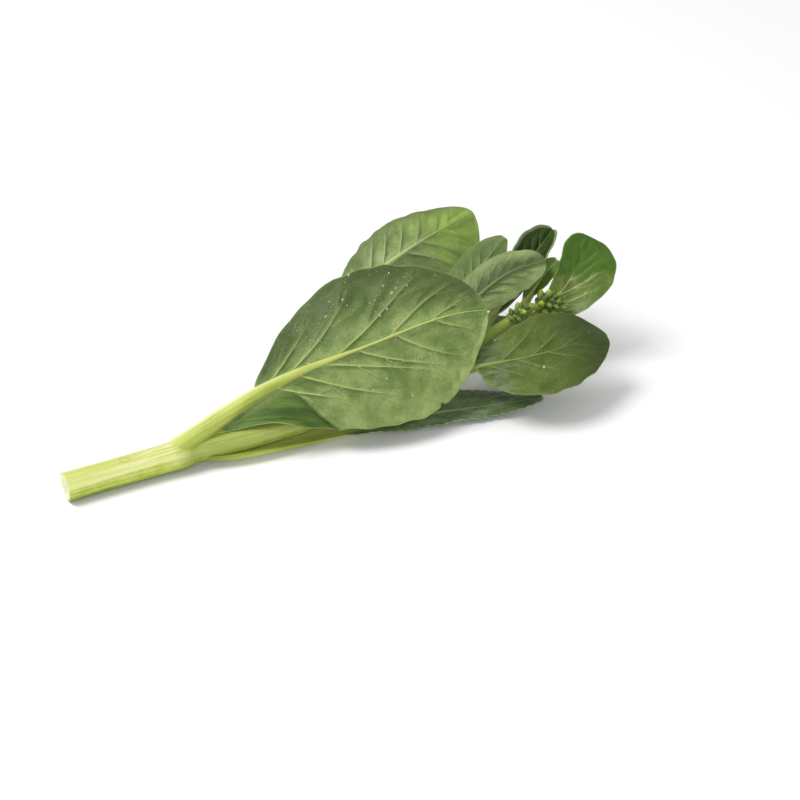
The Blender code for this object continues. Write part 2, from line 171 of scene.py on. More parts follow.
# %% The ten leaves
LEAVES = [
    Leaf(
        name="largest_leaf",
        route=[(45, -2.8, 6.8), (56, -2, 10.6), (72, -1.2, 17.1), (88, -2.2, 24), (108, -5, 31.1),
               (138, -9, 37.1), (164, -11.2, 41.5), (180, -13, 42.4), (192, -14.5, 41)],
        blade_from=(0.15, 0.30), half_width=(34.7, 32.6), widest_at=(0.66, 0.53),
        stalk_half_width=4.3, stalk_depth=5.2, faces_up="under",
        tilt=(6, 38, 42), fold=(-24, -6, -4), curl=(0, -10, -12), wave=(1.2, 3.0),
        side_veins=[(1, 0.31, 27, 46, 40), (1, 0.375, 22, 44, 50), (1, 0.53, 21, 31, 62),
                    (1, 0.70, 27, 18, 44), (1, 0.83, 24, 14, 20), (0, 0.34, 40, 22, 34),
                    (0, 0.415, 39, 25, 46), (0, 0.485, 21, 27, 50), (0, 0.60, 38, 20, 40),
                    (0, 0.72, 52, 12, 34), (0, 0.84, 34, 14, 18)],
        pucker=1.1, vein_step=0.26, teeth=(9, 0.15), rows=280, blade_columns=52,
        dents=[(0, 118, 1.8)], waists=[(0, 44, 57, 0.9), (1, 50, 66, 0.8)],
        pleat=(60, -2, 76, -32, 3.0), far_shade=(0.9, 42.0),
    ),
    Leaf(
        name="lower_front_leaf",
        route=[(56, -4, 7), (70, -10, 6), (92, -13.5, 5), (120, -18, 4.6), (150, -23.5, 4.6),
               (176, -30.5, 4.6), (194, -36, 5.0), (207, -39.5, 5.2)],
        blade_from=(0.42, 0.46), half_width=(5.5, 14), widest_at=(0.55, 0.50),
        stalk_half_width=3.4, stalk_depth=3.8, faces_up="upper",
        tilt=(10, 6, 4), fold=(24, 2, 0), curl=(0, -22, -18), wave=(0.8, 4.0),
        vein_rule=(6, 34, 48), pucker=0.5, teeth=(4.2, 0.9),
    ),
    Leaf(
        name="front_oval_leaf",
        route=[(124, -14.5, 14), (143, -20.5, 18), (165, -23.5, 21.4), (186, -29, 23),
               (206, -35, 25), (224, -37.5, 26.4), (240, -38.8, 25.2)],
        blade_from=(0.49, 0.42), half_width=(19.5, 16), widest_at=(0.45, 0.62),
        stalk_half_width=2.6, stalk_depth=2.8, faces_up="under",
        tilt=(10, 27, 27), fold=(-20, 8, 4), curl=(0, 4, -14), wave=(1.0, 2.5),
        side_veins=[(1, 0.46, 34, 42, 26), (1, 0.57, 33, 36, 27), (1, 0.69, 27, 26, 25),
                    (1, 0.81, 22, 14, 15), (0, 0.52, 30, 40, 22), (0, 0.63, 34, 34, 23),
                    (0, 0.75, 32, 26, 18), (0, 0.86, 24, 16, 11)],
        pucker=0.5, vein_step=0.12, rib_reach=0.2,
    ),
    Leaf(
        name="far_leaf",
        route=[(88, -10, 10), (99, 0, 12), (120, 19, 18.5), (146, 37, 26), (176, 53, 30),
               (206, 65, 32), (240, 77.5, 31)],
        blade_from=(0.40, 0.46), half_width=(33.2, 19), widest_at=(0.70, 0.56),
        stalk_half_width=3.6, stalk_depth=4.0, faces_up="under",
        tilt=(-6, 36, 36), fold=(-20, -4, -4), curl=(0, -60, -40), wave=(1.2, 3.0),
        vein_rule=(7, 34, 48), pucker=1.2, vein_step=0.36, rows=190, blade_columns=42,
        far_shade=(0.7, 15.0),
    ),
    Leaf(
        name="back_small_leaf",
        route=[(146, -15.2, 17), (158, -7, 16), (178, 7, 18), (200, 20, 26), (218, 28, 37),
               (229, 31, 44)],
        blade_from=(0.46, 0.46), half_width=(8, 11), widest_at=(0.58, 0.58),
        stalk_half_width=2.2, stalk_depth=2.4, faces_up="under",
        tilt=(0, 14, 18), fold=(-16, -8, -4), curl=(0, -16, -20), wave=(0.8, 2.0),
    ),
    Leaf(
        name="inner_leaf",
        route=[(172, -15.5, 21.5), (183, -8, 19), (198, -3, 16), (214, 1, 13.5), (228, 5, 12)],
        blade_from=(0.36, 0.36), half_width=(11, 12), widest_at=(0.56, 0.56),
        stalk_half_width=2.0, stalk_depth=2.2, faces_up="upper",
        tilt=(0, 8, 8), fold=(14, 12, 8), curl=(0, 6, -6), wave=(0.6, 2.0),
    ),
    Leaf(
        name="pale_top_leaf",
        route=[(158, -15.5, 19.5), (170, -9, 25), (184, -2, 31), (199, 2, 38), (214, 2, 45),
               (229.5, -2, 48.5)],
        blade_from=(0.40, 0.40), half_width=(9.5, 11), widest_at=(0.66, 0.56),
        stalk_half_width=2.2, stalk_depth=2.4, faces_up="under",
        tilt=(0, 26, 30), fold=(-16, -8, -4), curl=(0, -10, -16), wave=(0.7, 2.0), fullness=0.46,
    ),
    Leaf(
        name="folded_leaf",
        route=[(186, -13.5, 24.5), (198, -3, 24), (216, 8.5, 27), (234, 18, 36), (250.5, 23.5, 46)],
        blade_from=(0.34, 0.34), half_width=(13.5, 10), widest_at=(0.58, 0.70),
        stalk_half_width=1.9, stalk_depth=2.2, faces_up="upper",
        tilt=(0, 12, 10), fold=(16, 40, 30), curl=(0, 30, 20), wave=(0.5, 2.0),
    ),
    Leaf(
        name="young_leaf",
        route=[(211, -11.2, 29.8), (217.5, -5.5, 31.5), (225, -2.5, 36.5), (232.5, -0.5, 42),
               (238, 0.5, 45.5)],
        blade_from=(0.42, 0.30), half_width=(4.4, 4.2), widest_at=(0.56, 0.56),
        stalk_half_width=1.3, stalk_depth=1.5, faces_up="upper",
        tilt=(0, 22, 26), fold=(14, 24, 20), curl=(0, 24, 20), wave=(0.3, 2.0),
        vein_rule=(4, 30, 40), pucker=0.3, rows=90, blade_columns=18,
    ),
    Leaf(
        name="bright_tip_leaf",
        route=[(202, -12.5, 27.5), (213, -9, 23), (229, -6, 26), (243, -5, 38.5), (254, -2.5, 54)],
        blade_from=(0.26, 0.26), half_width=(15.5, 9.5), widest_at=(0.72, 0.86),
        stalk_half_width=2.0, stalk_depth=2.2, faces_up="upper",
        tilt=(10, 38, 42), fold=(16, 10, 8), curl=(0, 8, -6), wave=(0.7, 2.0),
        vein_rule=(5, 26, 36), fullness=0.36,
    ),
]
print("leaves:", ", ".join(leaf.name for leaf in LEAVES))

# %% [markdown]
# ## The rule of a leaf's shape
#
# A grid of points is worked out for the upper side: rows along the midrib, columns across. Numpy
# works on all of them at once, so the ten leaves are ready in a few seconds. The same formulas gave
# the solids, here with many more rows. Two places need care. Where the blade folds at
# the midrib the angle grows smoothly, so that no crease splits the stalk, and the rows lie closer
# together towards the tip, where the outline turns fastest.

# %% Measures that all leaves share
BLADE_THICKNESS = 0.55
SKIN_HILLS = ((0.35, 9, 1), (0.16, 3.1, 2))         # height and size of the skin's soft hills, seed
PLEAT_BOW = 3.0           # how far the pleat's outline bows out in its middle
STALK_EDGE = 0.8          # thin edge that runs along both sides of a leaf stalk
RIB_TIP_SHARE = 0.16      # the midrib's width at the leaf's tip, as a share of the leaf stalk's
RIB_COLUMNS = 7           # mesh columns over half of the rib
ROUTE_STEPS = 240
TIP_CROWDING = 0.55       # 0 spaces the rows evenly, 1 crowds them most towards the tip


# %% Helpers for routes and soft noise
def smooth_route(points, steps=ROUTE_STEPS):
    """Read a smooth curve through the points at equal distances along it (Catmull-Rom)."""
    knots = np.array(points, dtype=float)
    knots = np.vstack([2 * knots[0] - knots[1], knots, 2 * knots[-1] - knots[-2]])
    dense = []
    for a, b, c, d in zip(knots, knots[1:], knots[2:], knots[3:]):
        t = np.linspace(0, 1, 40, endpoint=False)[:, None]
        dense.append(0.5 * (2 * b + (c - a) * t + (2 * a - 5 * b + 4 * c - d) * t ** 2
                            + (3 * b - a - 3 * c + d) * t ** 3))
    dense = np.vstack(dense + [knots[-2][None, :]])
    run = np.concatenate([[0], np.cumsum(np.linalg.norm(np.diff(dense, axis=0), axis=1))])
    places = np.linspace(0, run[-1], steps)
    return np.column_stack([np.interp(places, run, dense[:, axis]) for axis in range(3)]), run[-1]


def at_share(route, share):
    """Points of an evenly spaced route at shares of its length."""
    places = np.linspace(0, 1, len(route))
    return np.stack([np.interp(share, places, route[:, axis]) for axis in range(3)], axis=-1)


def smoothstep(low, high, value):
    """0 below low, 1 above high, and an even, soft rise between them."""
    t = np.clip((value - low) / (high - low), 0, 1)
    return t * t * (3 - 2 * t)


def soft_noise(x, y, cell, seed):
    """Smooth random hills between -1 and 1, with a fixed seed; cell is the distance between them."""
    table = np.random.default_rng(seed).uniform(-1, 1, (64, 64))
    x, y = np.asarray(x) / cell + 1000, np.asarray(y) / cell + 1000
    column, row = np.floor(x).astype(int), np.floor(y).astype(int)
    fx, fy = smoothstep(0, 1, x - column), smoothstep(0, 1, y - row)
    corner = [[table[(row + j) % 64, (column + i) % 64] for i in (0, 1)] for j in (0, 1)]
    low = corner[0][0] * (1 - fx) + corner[0][1] * fx
    high = corner[1][0] * (1 - fx) + corner[1][1] * fx
    return low * (1 - fy) + high * fy


# %% The formulas of a leaf
def blend(values, share):
    """Read a value given at the stalk, in the middle of the blade and at the tip."""
    return np.interp(share, [0.1, 0.6, 1.0], values)


def rib_room(leaf, share):
    """Half the width that the solid keeps for the stalk and midrib."""
    return leaf.stalk_half_width * (1 - (1 - RIB_TIP_SHARE) * share ** 1.1)


def rib_half_width(leaf, share):
    """Half the width of the stalk and midrib: full in the stalk, soon slender in the blade."""
    start = sum(leaf.blade_from) / 2
    stalk = 0.70 * (1 - smoothstep(start - 0.17, start + leaf.rib_reach, share))
    taper = stalk + 0.24 * (1 - share) ** 0.8 + 0.06 - 0.05 * share
    return leaf.stalk_half_width * taper * (1 + leaf.foot_flare * np.exp(-(share / 0.07) ** 2))


def rib_depth(leaf, share):
    """How far the stalk and midrib stand out from the underside."""
    fullness = (rib_half_width(leaf, share) / leaf.stalk_half_width) ** 0.9
    return BLADE_THICKNESS + (leaf.stalk_depth - BLADE_THICKNESS) * np.minimum(fullness, 1)


def blade_width(leaf, share, side):
    """Width of the blade beyond the rib, on the near (0) or far (1) side."""
    start = leaf.blade_from[side]
    along = np.clip((share - start) / (1 - start), 0, 1)
    shape = np.sin(np.pi * along ** (math.log(0.5) / math.log(leaf.widest_at[side])))
    stalk_edge = 0.15 + (STALK_EDGE - 0.15) * smoothstep(0.06, 0.16, share)
    return stalk_edge + leaf.half_width[side] * np.maximum(shape, 0) ** leaf.fullness


def leaf_frames(leaf, route, share):
    """Middle, sideways and upward directions of the leaf at each share of its length."""
    middle = at_share(route, share)
    step = 0.01
    along = at_share(route, np.minimum(share + step, 1)) - at_share(route, np.maximum(share - step, 0))
    along /= np.linalg.norm(along, axis=1, keepdims=True)
    upward = np.array([0.0, 0.0, 1.0]) - along * along[:, 2:]
    upward /= np.linalg.norm(upward, axis=1, keepdims=True)
    turn = np.radians(blend(leaf.tilt, share))[:, None]
    upward = upward * np.cos(turn) + np.cross(along, upward) * np.sin(turn)
    return middle, np.cross(upward, along), upward


# %% [markdown]
# ## Veins
#
# The side veins leave the midrib at a steady angle, bend towards the tip and fork before the edge.
# They are drawn as short straight steps on the flattened leaf, where one axis is the distance along
# the midrib and the other the distance from it. Each mesh point then learns how far it is from the
# nearest vein, measured in half widths of that vein, and on which side of it. Such a distance changes
# evenly from one mesh point to the next, so the material can draw a crisp vein that is thinner than
# the mesh is fine, and lay a line of shade on one side of it. Curves laid on the surface would work
# as well, but they would not let the skin sink and bulge around them.

# %% Measures of the veins
VEIN_STEP = 2.0           # length of one straight step of a vein
VEIN_HALF_WIDTH = 0.50    # a side vein where it leaves the midrib
VEIN_RELIEF = 0.20        # how far a side vein stands out from the underside
LONGEST_VEIN = 120        # no side vein of this plant gets longer
FORKS = ((0.30, 1), (0.62, -1), (0.80, 1))          # where a vein forks, and to which hand
FAR_AWAY = 1e3            # a distance to start from when the nearest vein is looked for


# %% Draw the veins of a leaf on the flat
def grow_vein(start, sign, angles, length, half_width, clear=1.0, number=-1):
    """Steps of one vein: both ends on the flat, half width, clearness, number (-1 for a fork)."""
    count = max(2, int(length / VEIN_STEP))
    place = np.array(start, dtype=float)
    steps = []
    for share in np.arange(count) / count:
        angle = math.radians(angles[0] + (angles[1] - angles[0]) * share)
        ahead = place + VEIN_STEP * np.array([math.cos(angle), sign * math.sin(angle)])
        fading = clear * (1 - smoothstep(0.55, 1.0, share))
        steps.append([*place, *ahead, half_width * (1 - 0.6 * share), fading, number])
        place = ahead
    return steps


def ruled_veins(leaf, length, rng):
    """Side veins from the leaf's rule: side, share of the midrib, both angles, length."""
    count, first, last = leaf.vein_rule
    veins = []
    for side in (0, 1):
        start = leaf.blade_from[side]
        for index in range(count):
            share = start + (1 - start) * (0.04 + 0.84 * (index + 0.4 * side) / count)
            share += rng.uniform(-0.01, 0.01)
            steer = first + rng.uniform(-3, 3), last + rng.uniform(-4, 4) - 10 * index / count
            room = vein_room(leaf, length, side, share * length, sum(steer) / 2)
            veins.append((side, share, *steer, room * 0.92))
    return veins


def leaf_veins(leaf, length, seed):
    """All side veins and their forks, on both halves of the leaf."""
    rng = np.random.default_rng(seed)
    steps = []
    mains = leaf.side_veins or ruled_veins(leaf, length, rng)
    for number, (side, share, first, last, reach) in enumerate(mains):
        sign = 1 if side else -1
        thick = VEIN_HALF_WIDTH * (1.15 - 0.6 * share)
        vein = grow_vein((share * length, 0), sign, (first, last), reach, thick, number=number)
        steps += vein
        for at, hand in FORKS:
            origin = vein[int(at * (len(vein) - 1))]
            aim = first + (last - first) * at + hand * rng.uniform(20, 32)
            room = vein_room(leaf, length, side, origin[2], aim, abs(origin[3]))
            steps += grow_vein(origin[2:4], sign, (aim, aim - hand * 22),
                               min(room * 0.8, reach * 0.4), origin[4] * 0.5, clear=0.6)
    return np.array(steps)


def vein_room(leaf, length, side, begin, angle, across=0.0):
    """How far a straight line from a point can run before it meets the edge."""
    run = np.arange(0, LONGEST_VEIN, 1.0)
    along = begin + run * math.cos(math.radians(angle))
    out = across + run * math.sin(math.radians(angle))
    share = np.clip(along / length, 0, 1)
    inside = out < rib_room(leaf, share) + blade_width(leaf, share, side)
    return float(run[np.argmin(inside)]) if not inside.all() else float(run[-1])


# %% Distances from the veins
def step_distance(along, across, step):
    """Signed distance from points on the flat to one straight step; negative on its right."""
    ax, ay, bx, by = step[:4]
    dx, dy = bx - ax, by - ay
    px, py = along - ax, across - ay
    t = np.clip((px * dx + py * dy) / (dx * dx + dy * dy), 0, 1)
    return np.where(dx * py < dy * px, -1, 1) * np.hypot(px - t * dx, py - t * dy)


def vein_distance(along, across, steps):
    """For every point: signed half widths to its vein, the vein's clearness, and the distance in mm."""
    best, plain = np.full(along.shape, FAR_AWAY), np.full(along.shape, FAR_AWAY)
    clear = np.zeros(along.shape)
    for step in steps:
        distance = step_distance(along, across, step)
        nearer = np.abs(distance) / step[4] < np.abs(best)
        best = np.where(nearer, distance / step[4], best)
        clear = np.where(nearer, step[5], clear)
        plain = np.minimum(plain, np.abs(distance))
    return best, clear, plain


def vein_furrows(along, across, steps):
    """How deep each point lies in the furrow on the right of the main side veins, from 0 to 1."""
    deepest = np.zeros(along.shape)
    for number in range(int(steps[:, 6].max()) + 1):
        nearest, clear = np.full(along.shape, FAR_AWAY), np.zeros(along.shape)
        for step in steps[steps[:, 6] == number]:
            distance = step_distance(along, across, step)
            nearer = np.abs(distance) < np.abs(nearest)
            nearest = np.where(nearer, distance, nearest)
            clear = np.where(nearer, step[5], clear)
        beside = smoothstep(-0.6, 1.2, -nearest) * (1 - smoothstep(1.2, 3.6, -nearest))
        deepest = np.maximum(deepest, beside * clear)
    return deepest


# %% [markdown]
# ## From a sheet to a leaf with two sides
#
# A leaf is not a sheet of paper: its stalk is as thick as a pencil and round at the back, and its
# blade is half a millimetre thin. So the grid is made twice. The first copy is the upper side, and
# the second lies under it by the thickness at each point, which gives the round back of the stalk
# and the raised midrib. Between the veins both sides bulge towards the upper side together, as a
# fresh leaf's skin does. The two sides meet in a narrow rim, so the mesh is closed.


# %% The flat sheet of a leaf
def leaf_grid(leaf):
    """Rows and columns of the leaf's sheet: how far its points lie from the midrib on both halves."""
    route, length = smooth_route(leaf.route)
    even = np.linspace(0, 1, leaf.rows)
    share = (1 - TIP_CROWDING) * even + TIP_CROWDING * np.sin(np.pi / 2 * even)
    reach = np.arange(RIB_COLUMNS + leaf.blade_columns + 1)
    rib, room = rib_half_width(leaf, share)[:, None], rib_room(leaf, share)[:, None]
    halves = []
    for side in (0, 1):
        bare = blade_width(leaf, share, side)[:, None]
        width = np.maximum(room, rib) + bare * edge_shape(leaf, share * length, side)[:, None]
        in_rib = rib * reach / RIB_COLUMNS
        in_blade = rib + (width - rib) * (reach - RIB_COLUMNS) / leaf.blade_columns
        halves.append((np.where(reach <= RIB_COLUMNS, in_rib, in_blade), width, bare))
    return route, length, share, rib, halves


def edge_shape(leaf, along, side):
    """A factor close to 1 that gives the edge its shallow teeth and small bites."""
    spacing, depth = leaf.teeth
    phase = (along / spacing + 0.3 * soft_noise(along, along * 0, spacing * 2, 5 + side)) % 1.0
    tooth = np.where(phase < 0.7, phase / 0.7, (1 - phase) / 0.3)
    widest = leaf.half_width[side]
    shape = 1 - depth / widest * (1 - tooth) + 0.6 / widest * soft_noise(along, along * 0, 6, 9 + side)
    for waist_side, slim_until, full_from, slim_share in leaf.waists:
        if waist_side == side:
            shape = shape * (slim_share + (1 - slim_share) * smoothstep(slim_until, full_from, along))
    for dent_side, place, size in leaf.dents:
        if dent_side == side:
            shape = shape - size / widest * np.exp(-((along - place) / 0.9) ** 2)
    return shape


# %% Bend the sheet
def leaf_surface(leaf, seed):
    """Points of both sides in mm, and what the material needs to know at each of them."""
    route, length, share, rib, halves = leaf_grid(leaf)
    middle, sideways, upward = leaf_frames(leaf, route, share)
    fold = np.radians(blend(leaf.fold, share))[:, None]
    curl = np.radians(blend(leaf.curl, share))[:, None]
    columns = []
    for side, sign in ((0, -1), (1, 1)):
        distance, width, bare = halves[side]
        angle = fold * smoothstep(0, 1.0, distance / rib) + curl * distance / width
        step = np.diff(distance, axis=1, prepend=0)
        mean_angle = (angle + np.concatenate([angle[:, :1], angle[:, :-1]], axis=1)) / 2
        out = np.cumsum(step * np.cos(mean_angle), axis=1)
        rise = np.cumsum(step * np.sin(mean_angle), axis=1)
        blade = np.clip((distance - rib) / np.maximum(width - rib, 1e-6), 0, 1)
        turn = 2 * math.pi * leaf.wave[1] * share + (0.9 if side else 2.3)
        faded = np.minimum(1, bare / 6)
        rise = rise + leaf.wave[0] * blade ** 2 * np.sin(turn)[:, None] * faded
        place = (middle[:, None] + sideways[:, None] * (sign * out)[..., None]
                 + upward[:, None] * rise[..., None])
        flat = np.stack([np.broadcast_to(share[:, None] * length, distance.shape), sign * distance], -1)
        data = np.stack([distance / rib, width - distance, np.broadcast_to(faded, blade.shape)], -1)
        columns.append((place, flat, data))
    near, far = columns
    joined = [np.concatenate([n[:, :0:-1], f], axis=1) for n, f in zip(near, far)]
    return finish_sides(leaf, length, share, rib, joined, seed)


# %% Relief and thickness
def finish_sides(leaf, length, share, rib, joined, seed):
    """Add the veins' relief and the thickness to the sheet, for the upper and the under side."""
    place, flat, data = joined
    along, across = flat[..., 0], flat[..., 1]
    rib_share, to_edge, leafy = data[..., 0], data[..., 1], data[..., 2]
    steps = leaf_veins(leaf, length, seed)
    best, clear, plain = vein_distance(along, across, steps)
    from_rib = np.abs(across) - rib
    furrow = vein_furrows(along, across, steps) * smoothstep(0.2, 2.5, from_rib)
    furrow = furrow * smoothstep(1.0, 8.0, to_edge)
    valley = np.minimum(plain, np.maximum(from_rib, 0) * 1.2)
    in_blade = smoothstep(0.2, 3.0, from_rib) * smoothstep(0.0, 5.0, to_edge)
    bulge = leaf.pucker * (1 - np.exp(-(valley / 2.6) ** 1.8)) * in_blade
    bulge += leaf.vein_step * furrow
    for height, size, own_seed in SKIN_HILLS:
        bulge += height * soft_noise(along, across, size, seed + own_seed) * in_blade
    base, lowered, fold_shade = pleated(leaf, along, across, seed)
    bulge += lowered
    hand = 1 if leaf.faces_up == "upper" else -1
    upper = place + hand * sheet_normals(place) * bulge[..., None]
    outward = hand * sheet_normals(upper)
    round_share = np.sqrt(np.maximum(0, 1 - (rib_share / 1.02) ** 2))
    depth = BLADE_THICKNESS + (rib_depth(leaf, share)[:, None] - BLADE_THICKNESS) * round_share
    ridge = VEIN_RELIEF * np.exp(-(plain / 0.95) ** 2) * smoothstep(-0.3, 0.6, from_rib)
    ridge *= smoothstep(0.5, 6.0, to_edge) * clear
    under = upper - outward * (depth + ridge)[..., None]
    upper = upper - outward * (0.5 * ridge)[..., None]
    facts = {"along": along, "across": across, "share": np.broadcast_to(share[:, None], along.shape),
             "rib": np.sign(across) * rib_share, "edge": to_edge,
             "vein": np.minimum(np.abs(best), 40), "vein_side": np.clip(best, -40, 40),
             "vein_clear": clear, "leafy": leafy, "base": base, "fold_shade": fold_shade}
    return upper, under, facts


# %% The pleat of the largest leaf
def pleated(leaf, along, across, seed):
    """What the pleat does: where its lower part is, how far that is lowered, and the pleat's shade."""
    if not leaf.pleat:
        return np.zeros_like(along), np.zeros_like(along), np.zeros_like(along)
    first_along, first_across, last_along, last_across, height = leaf.pleat
    run = np.array([last_along - first_along, last_across - first_across])
    reach = np.hypot(*run)
    run = run / reach
    down = (along - first_along) * run[0] + (across - first_across) * run[1]
    before = (along - first_along) * run[1] - (across - first_across) * run[0]
    before = before - PLEAT_BOW * np.sin(np.pi * np.clip(down / reach, 0, 1))
    before = before + 1.2 * soft_noise(across, across * 0, 8, seed + 3)
    base = smoothstep(-0.7, 0.8, before) * smoothstep(2.5, 7, -across) * smoothstep(8, 18, along)
    lowered = height * base * smoothstep(3, 20, down) * np.exp(-(np.maximum(before - 3, 0) / 13) ** 2)
    phase = (across + 0.45 * along) / 4.5 + 0.8 * soft_noise(along, across, 13, seed + 4)
    wrinkles = np.sin(2 * np.pi * phase) * soft_noise(along, across, 14, seed + 5)
    shade = smoothstep(-0.3, 0.3, before) * np.exp(-np.maximum(before, 0) / 2.4)
    return base, lowered + 0.22 * base * wrinkles, shade * smoothstep(1, 6, down)


# %% Make the mesh of a leaf
def sheet_normals(points):
    """Directions that stand upright on a grid of points."""
    normal = np.cross(np.gradient(points, axis=0), np.gradient(points, axis=1))
    return normal / np.maximum(np.linalg.norm(normal, axis=-1, keepdims=True), 1e-12)


def leaf_mesh(leaf, seed):
    """Turn the two sides into one closed mesh with its attributes."""
    upper, under, facts = leaf_surface(leaf, seed)
    rows, columns = upper.shape[:2]
    count = rows * columns
    index = np.arange(count).reshape(rows, columns)
    quads = np.stack([index[:-1, :-1], index[:-1, 1:], index[1:, 1:], index[1:, :-1]], -1)
    quads = quads.reshape(-1, 4)
    rim = np.concatenate([index[0, :], index[1:, -1], index[-1, -2::-1], index[-2:0:-1, 0]])
    ahead = np.roll(rim, -1)
    walls = np.stack([rim, rim + count, ahead + count, ahead], -1)
    faces = np.concatenate([quads, quads[:, ::-1] + count, walls])
    if leaf.faces_up == "upper":
        faces = faces[:, ::-1]
    points = (np.concatenate([upper.reshape(-1, 3), under.reshape(-1, 3)]) - MIDDLE_OF_SHOOT) * MM
    mesh = bpy.data.meshes.new(leaf.name + "_surface")
    mesh.from_pydata(points.tolist(), [], faces.tolist())
    for name, values in facts.items():
        both = np.tile(values.reshape(-1), 2).astype(np.float32)
        mesh.attributes.new(name, "FLOAT", "POINT").data.foreach_set("value", both)
    sides = np.concatenate([np.zeros(len(quads)), np.ones(len(quads) + len(walls))]).astype(np.int32)
    mesh.polygons.foreach_set("material_index", sides)
    mesh.polygons.foreach_set("use_smooth", np.ones(len(faces), dtype=bool))
    mesh.update()
    return mesh


# %% [markdown]
# ## The skin of a leaf
#
# A choy sum leaf is green tissue under a clear waxy skin. From above it is deep green and shines a
# little. From below it is paler and matt, and there the veins stand out like fine cords. The leaf
# stalk is juicy and nearly bare of green, so it is pale, with lines of fibre running along it.
#
# A painted texture could give all this for one leaf only. Here the colour is built in layers out of
# noise and the distances that are stored on the mesh, one short function for each layer, so that the
# same steps serve ten leaves on both sides. What differs from leaf to leaf is kept in a small list:
# old leaves are darker and bluer than young ones, some are waxy or fresh at the tip, and some carry
# painted light and shade: a shaded crease, half or tip, a yellow glow, a highlight along the stalk.
# Sizes in these layers are in millimetres, and shares count from 0 at the stem to 1 at the leaf's tip.


# %% What describes a skin
@dataclass
class Skin:
    """The finish of one side of a leaf."""
    dark: str             # the tissue in its darker patches
    light: str            # the tissue in its lighter patches
    vein: str             # the veins, and the tissue right beside them
    roughness: float      # of the blade; the stalk has its own
    net: float            # how clear the mesh of the finest veins is
    veins_sink: bool = False        # on the upper side the veins lie in fine grooves
    furrow: float = 0.3   # strength of the line of shade beside each side vein
    far_shade: tuple = ()           # strength of the far half's painted shade, and its reach in mm
    wax: tuple = ()       # strength, and the shares of the leaf where it thins and where it is gone
    tip: tuple = ()       # fresh green, painted shade on one leaf; shares where it begins and is full, border's lean per mm
    rim: tuple = (0.5, 0.45, "")    # width in mm, strength, colour (the veins' where it is empty)
    rib_until: float = 0.85         # share of the leaf where the midrib is as green as the veins
    highlight_cream: float = 0.3    # strength of the painted highlight, a cream line along the stalk
    crease_shade: float = 0.0   # strength of the painted shade in the crease along the midrib
    glow: float = 0.0     # strength of the painted yellow glow beside the midrib
    foot: tuple = ("#76892b", "#abb94e")    # the stalk's foot, painted darker on its shaded side and lighter on its lit side


# the stalk's greens, and the cream of its painted highlight line
STALK_DEEP, STALK_PALE, STALK_HIGHLIGHT_CREAM = "#93a53c", "#d4d777", "#eff0c4"
STALK_ROUGHNESS = 0.34
WAX_BLUE = "#8f9f86"
GLOW_YELLOW = "#a2c43c"
# the base's streaked greens, partly painted shade, and the pleat's painted shade
BASE_DARK, BASE_LIGHT, BASE_SHADE = "#344f12", "#5c7b2e", "#405c1d"
LEAF_FACTS = ("along", "across", "share", "rib", "edge", "vein", "vein_side", "vein_clear", "leafy",
              "base", "fold_shade")


# %% Read the facts and the flat place of a leaf
def read_facts(tree):
    """One Attribute node for each fact that is stored on the points of a leaf."""
    return {name: add(tree, "ShaderNodeAttribute", attribute_name=name, out="Fac")
            for name in LEAF_FACTS}


def flat_place(tree, point, along_size, across_size):
    """The place on the flattened leaf, counted in the sizes given in millimetres."""
    along = add(tree, "ShaderNodeMath", point["along"], along_size, operation="DIVIDE")
    across = add(tree, "ShaderNodeMath", point["across"], across_size, operation="DIVIDE")
    return add(tree, "ShaderNodeCombineXYZ", along, across, 0.0)


# %% The green tissue
def tissue(tree, point, skin):
    """Mottled green: patches of about 14 mm, and grain of about a millimetre."""
    patches = add(tree, "ShaderNodeTexNoise",
                  {"Vector": flat_place(tree, point, 14.0, 14.0), "Scale": 1.0, "Detail": 5.0,
                   "Roughness": 0.62})
    grain = add(tree, "ShaderNodeTexNoise",
                {"Vector": flat_place(tree, point, 0.9, 0.9), "Scale": 1.0, "Detail": 2.0})
    patchy = add(tree, "ShaderNodeMapRange", patches, 0.34, 0.68, 0.0, 1.0, **SMOOTH)
    grainy = add(tree, "ShaderNodeMapRange", grain, 0.25, 0.75, -0.16, 0.16)
    tone = add(tree, "ShaderNodeMath", patchy, grainy, operation="ADD", use_clamp=True)
    green = add(tree, "ShaderNodeMix", {0: tone, 6: linear(skin.dark), 7: linear(skin.light)},
                **COLOURS)
    return patches, grain, tone, green


def fresh_and_shaded_tip(tree, point, skin, patches, tone, colour):
    """A deeper and fresher green towards the tip, where the veins fade; also how far they show."""
    if not skin.tip:
        return colour, 1.0
    # on the bright tip leaf this deeper tip is painted shade, where the tip bends away from the light
    fresh_green, begins, full, lean = skin.tip
    uneven = add(tree, "ShaderNodeMapRange", patches, 0.3, 0.7, -0.06, 0.06, **SMOOTH)
    place = add(tree, "ShaderNodeMath", point["share"], uneven, operation="ADD")
    place = add(tree, "ShaderNodeMath", point["across"], lean, place, operation="MULTIPLY_ADD")
    fresh = add(tree, "ShaderNodeMapRange", place, begins, full, 0.0, 1.0, **SMOOTH)
    greens = add(tree, "ShaderNodeMix", {0: tone, 6: deeper(fresh_green, 0.8), 7: linear(fresh_green)},
                 **COLOURS)
    shown = add(tree, "ShaderNodeMath", fresh, -0.92, 1.0, operation="MULTIPLY_ADD")
    return add(tree, "ShaderNodeMix", {0: fresh, 6: colour, 7: greens}, **COLOURS), shown


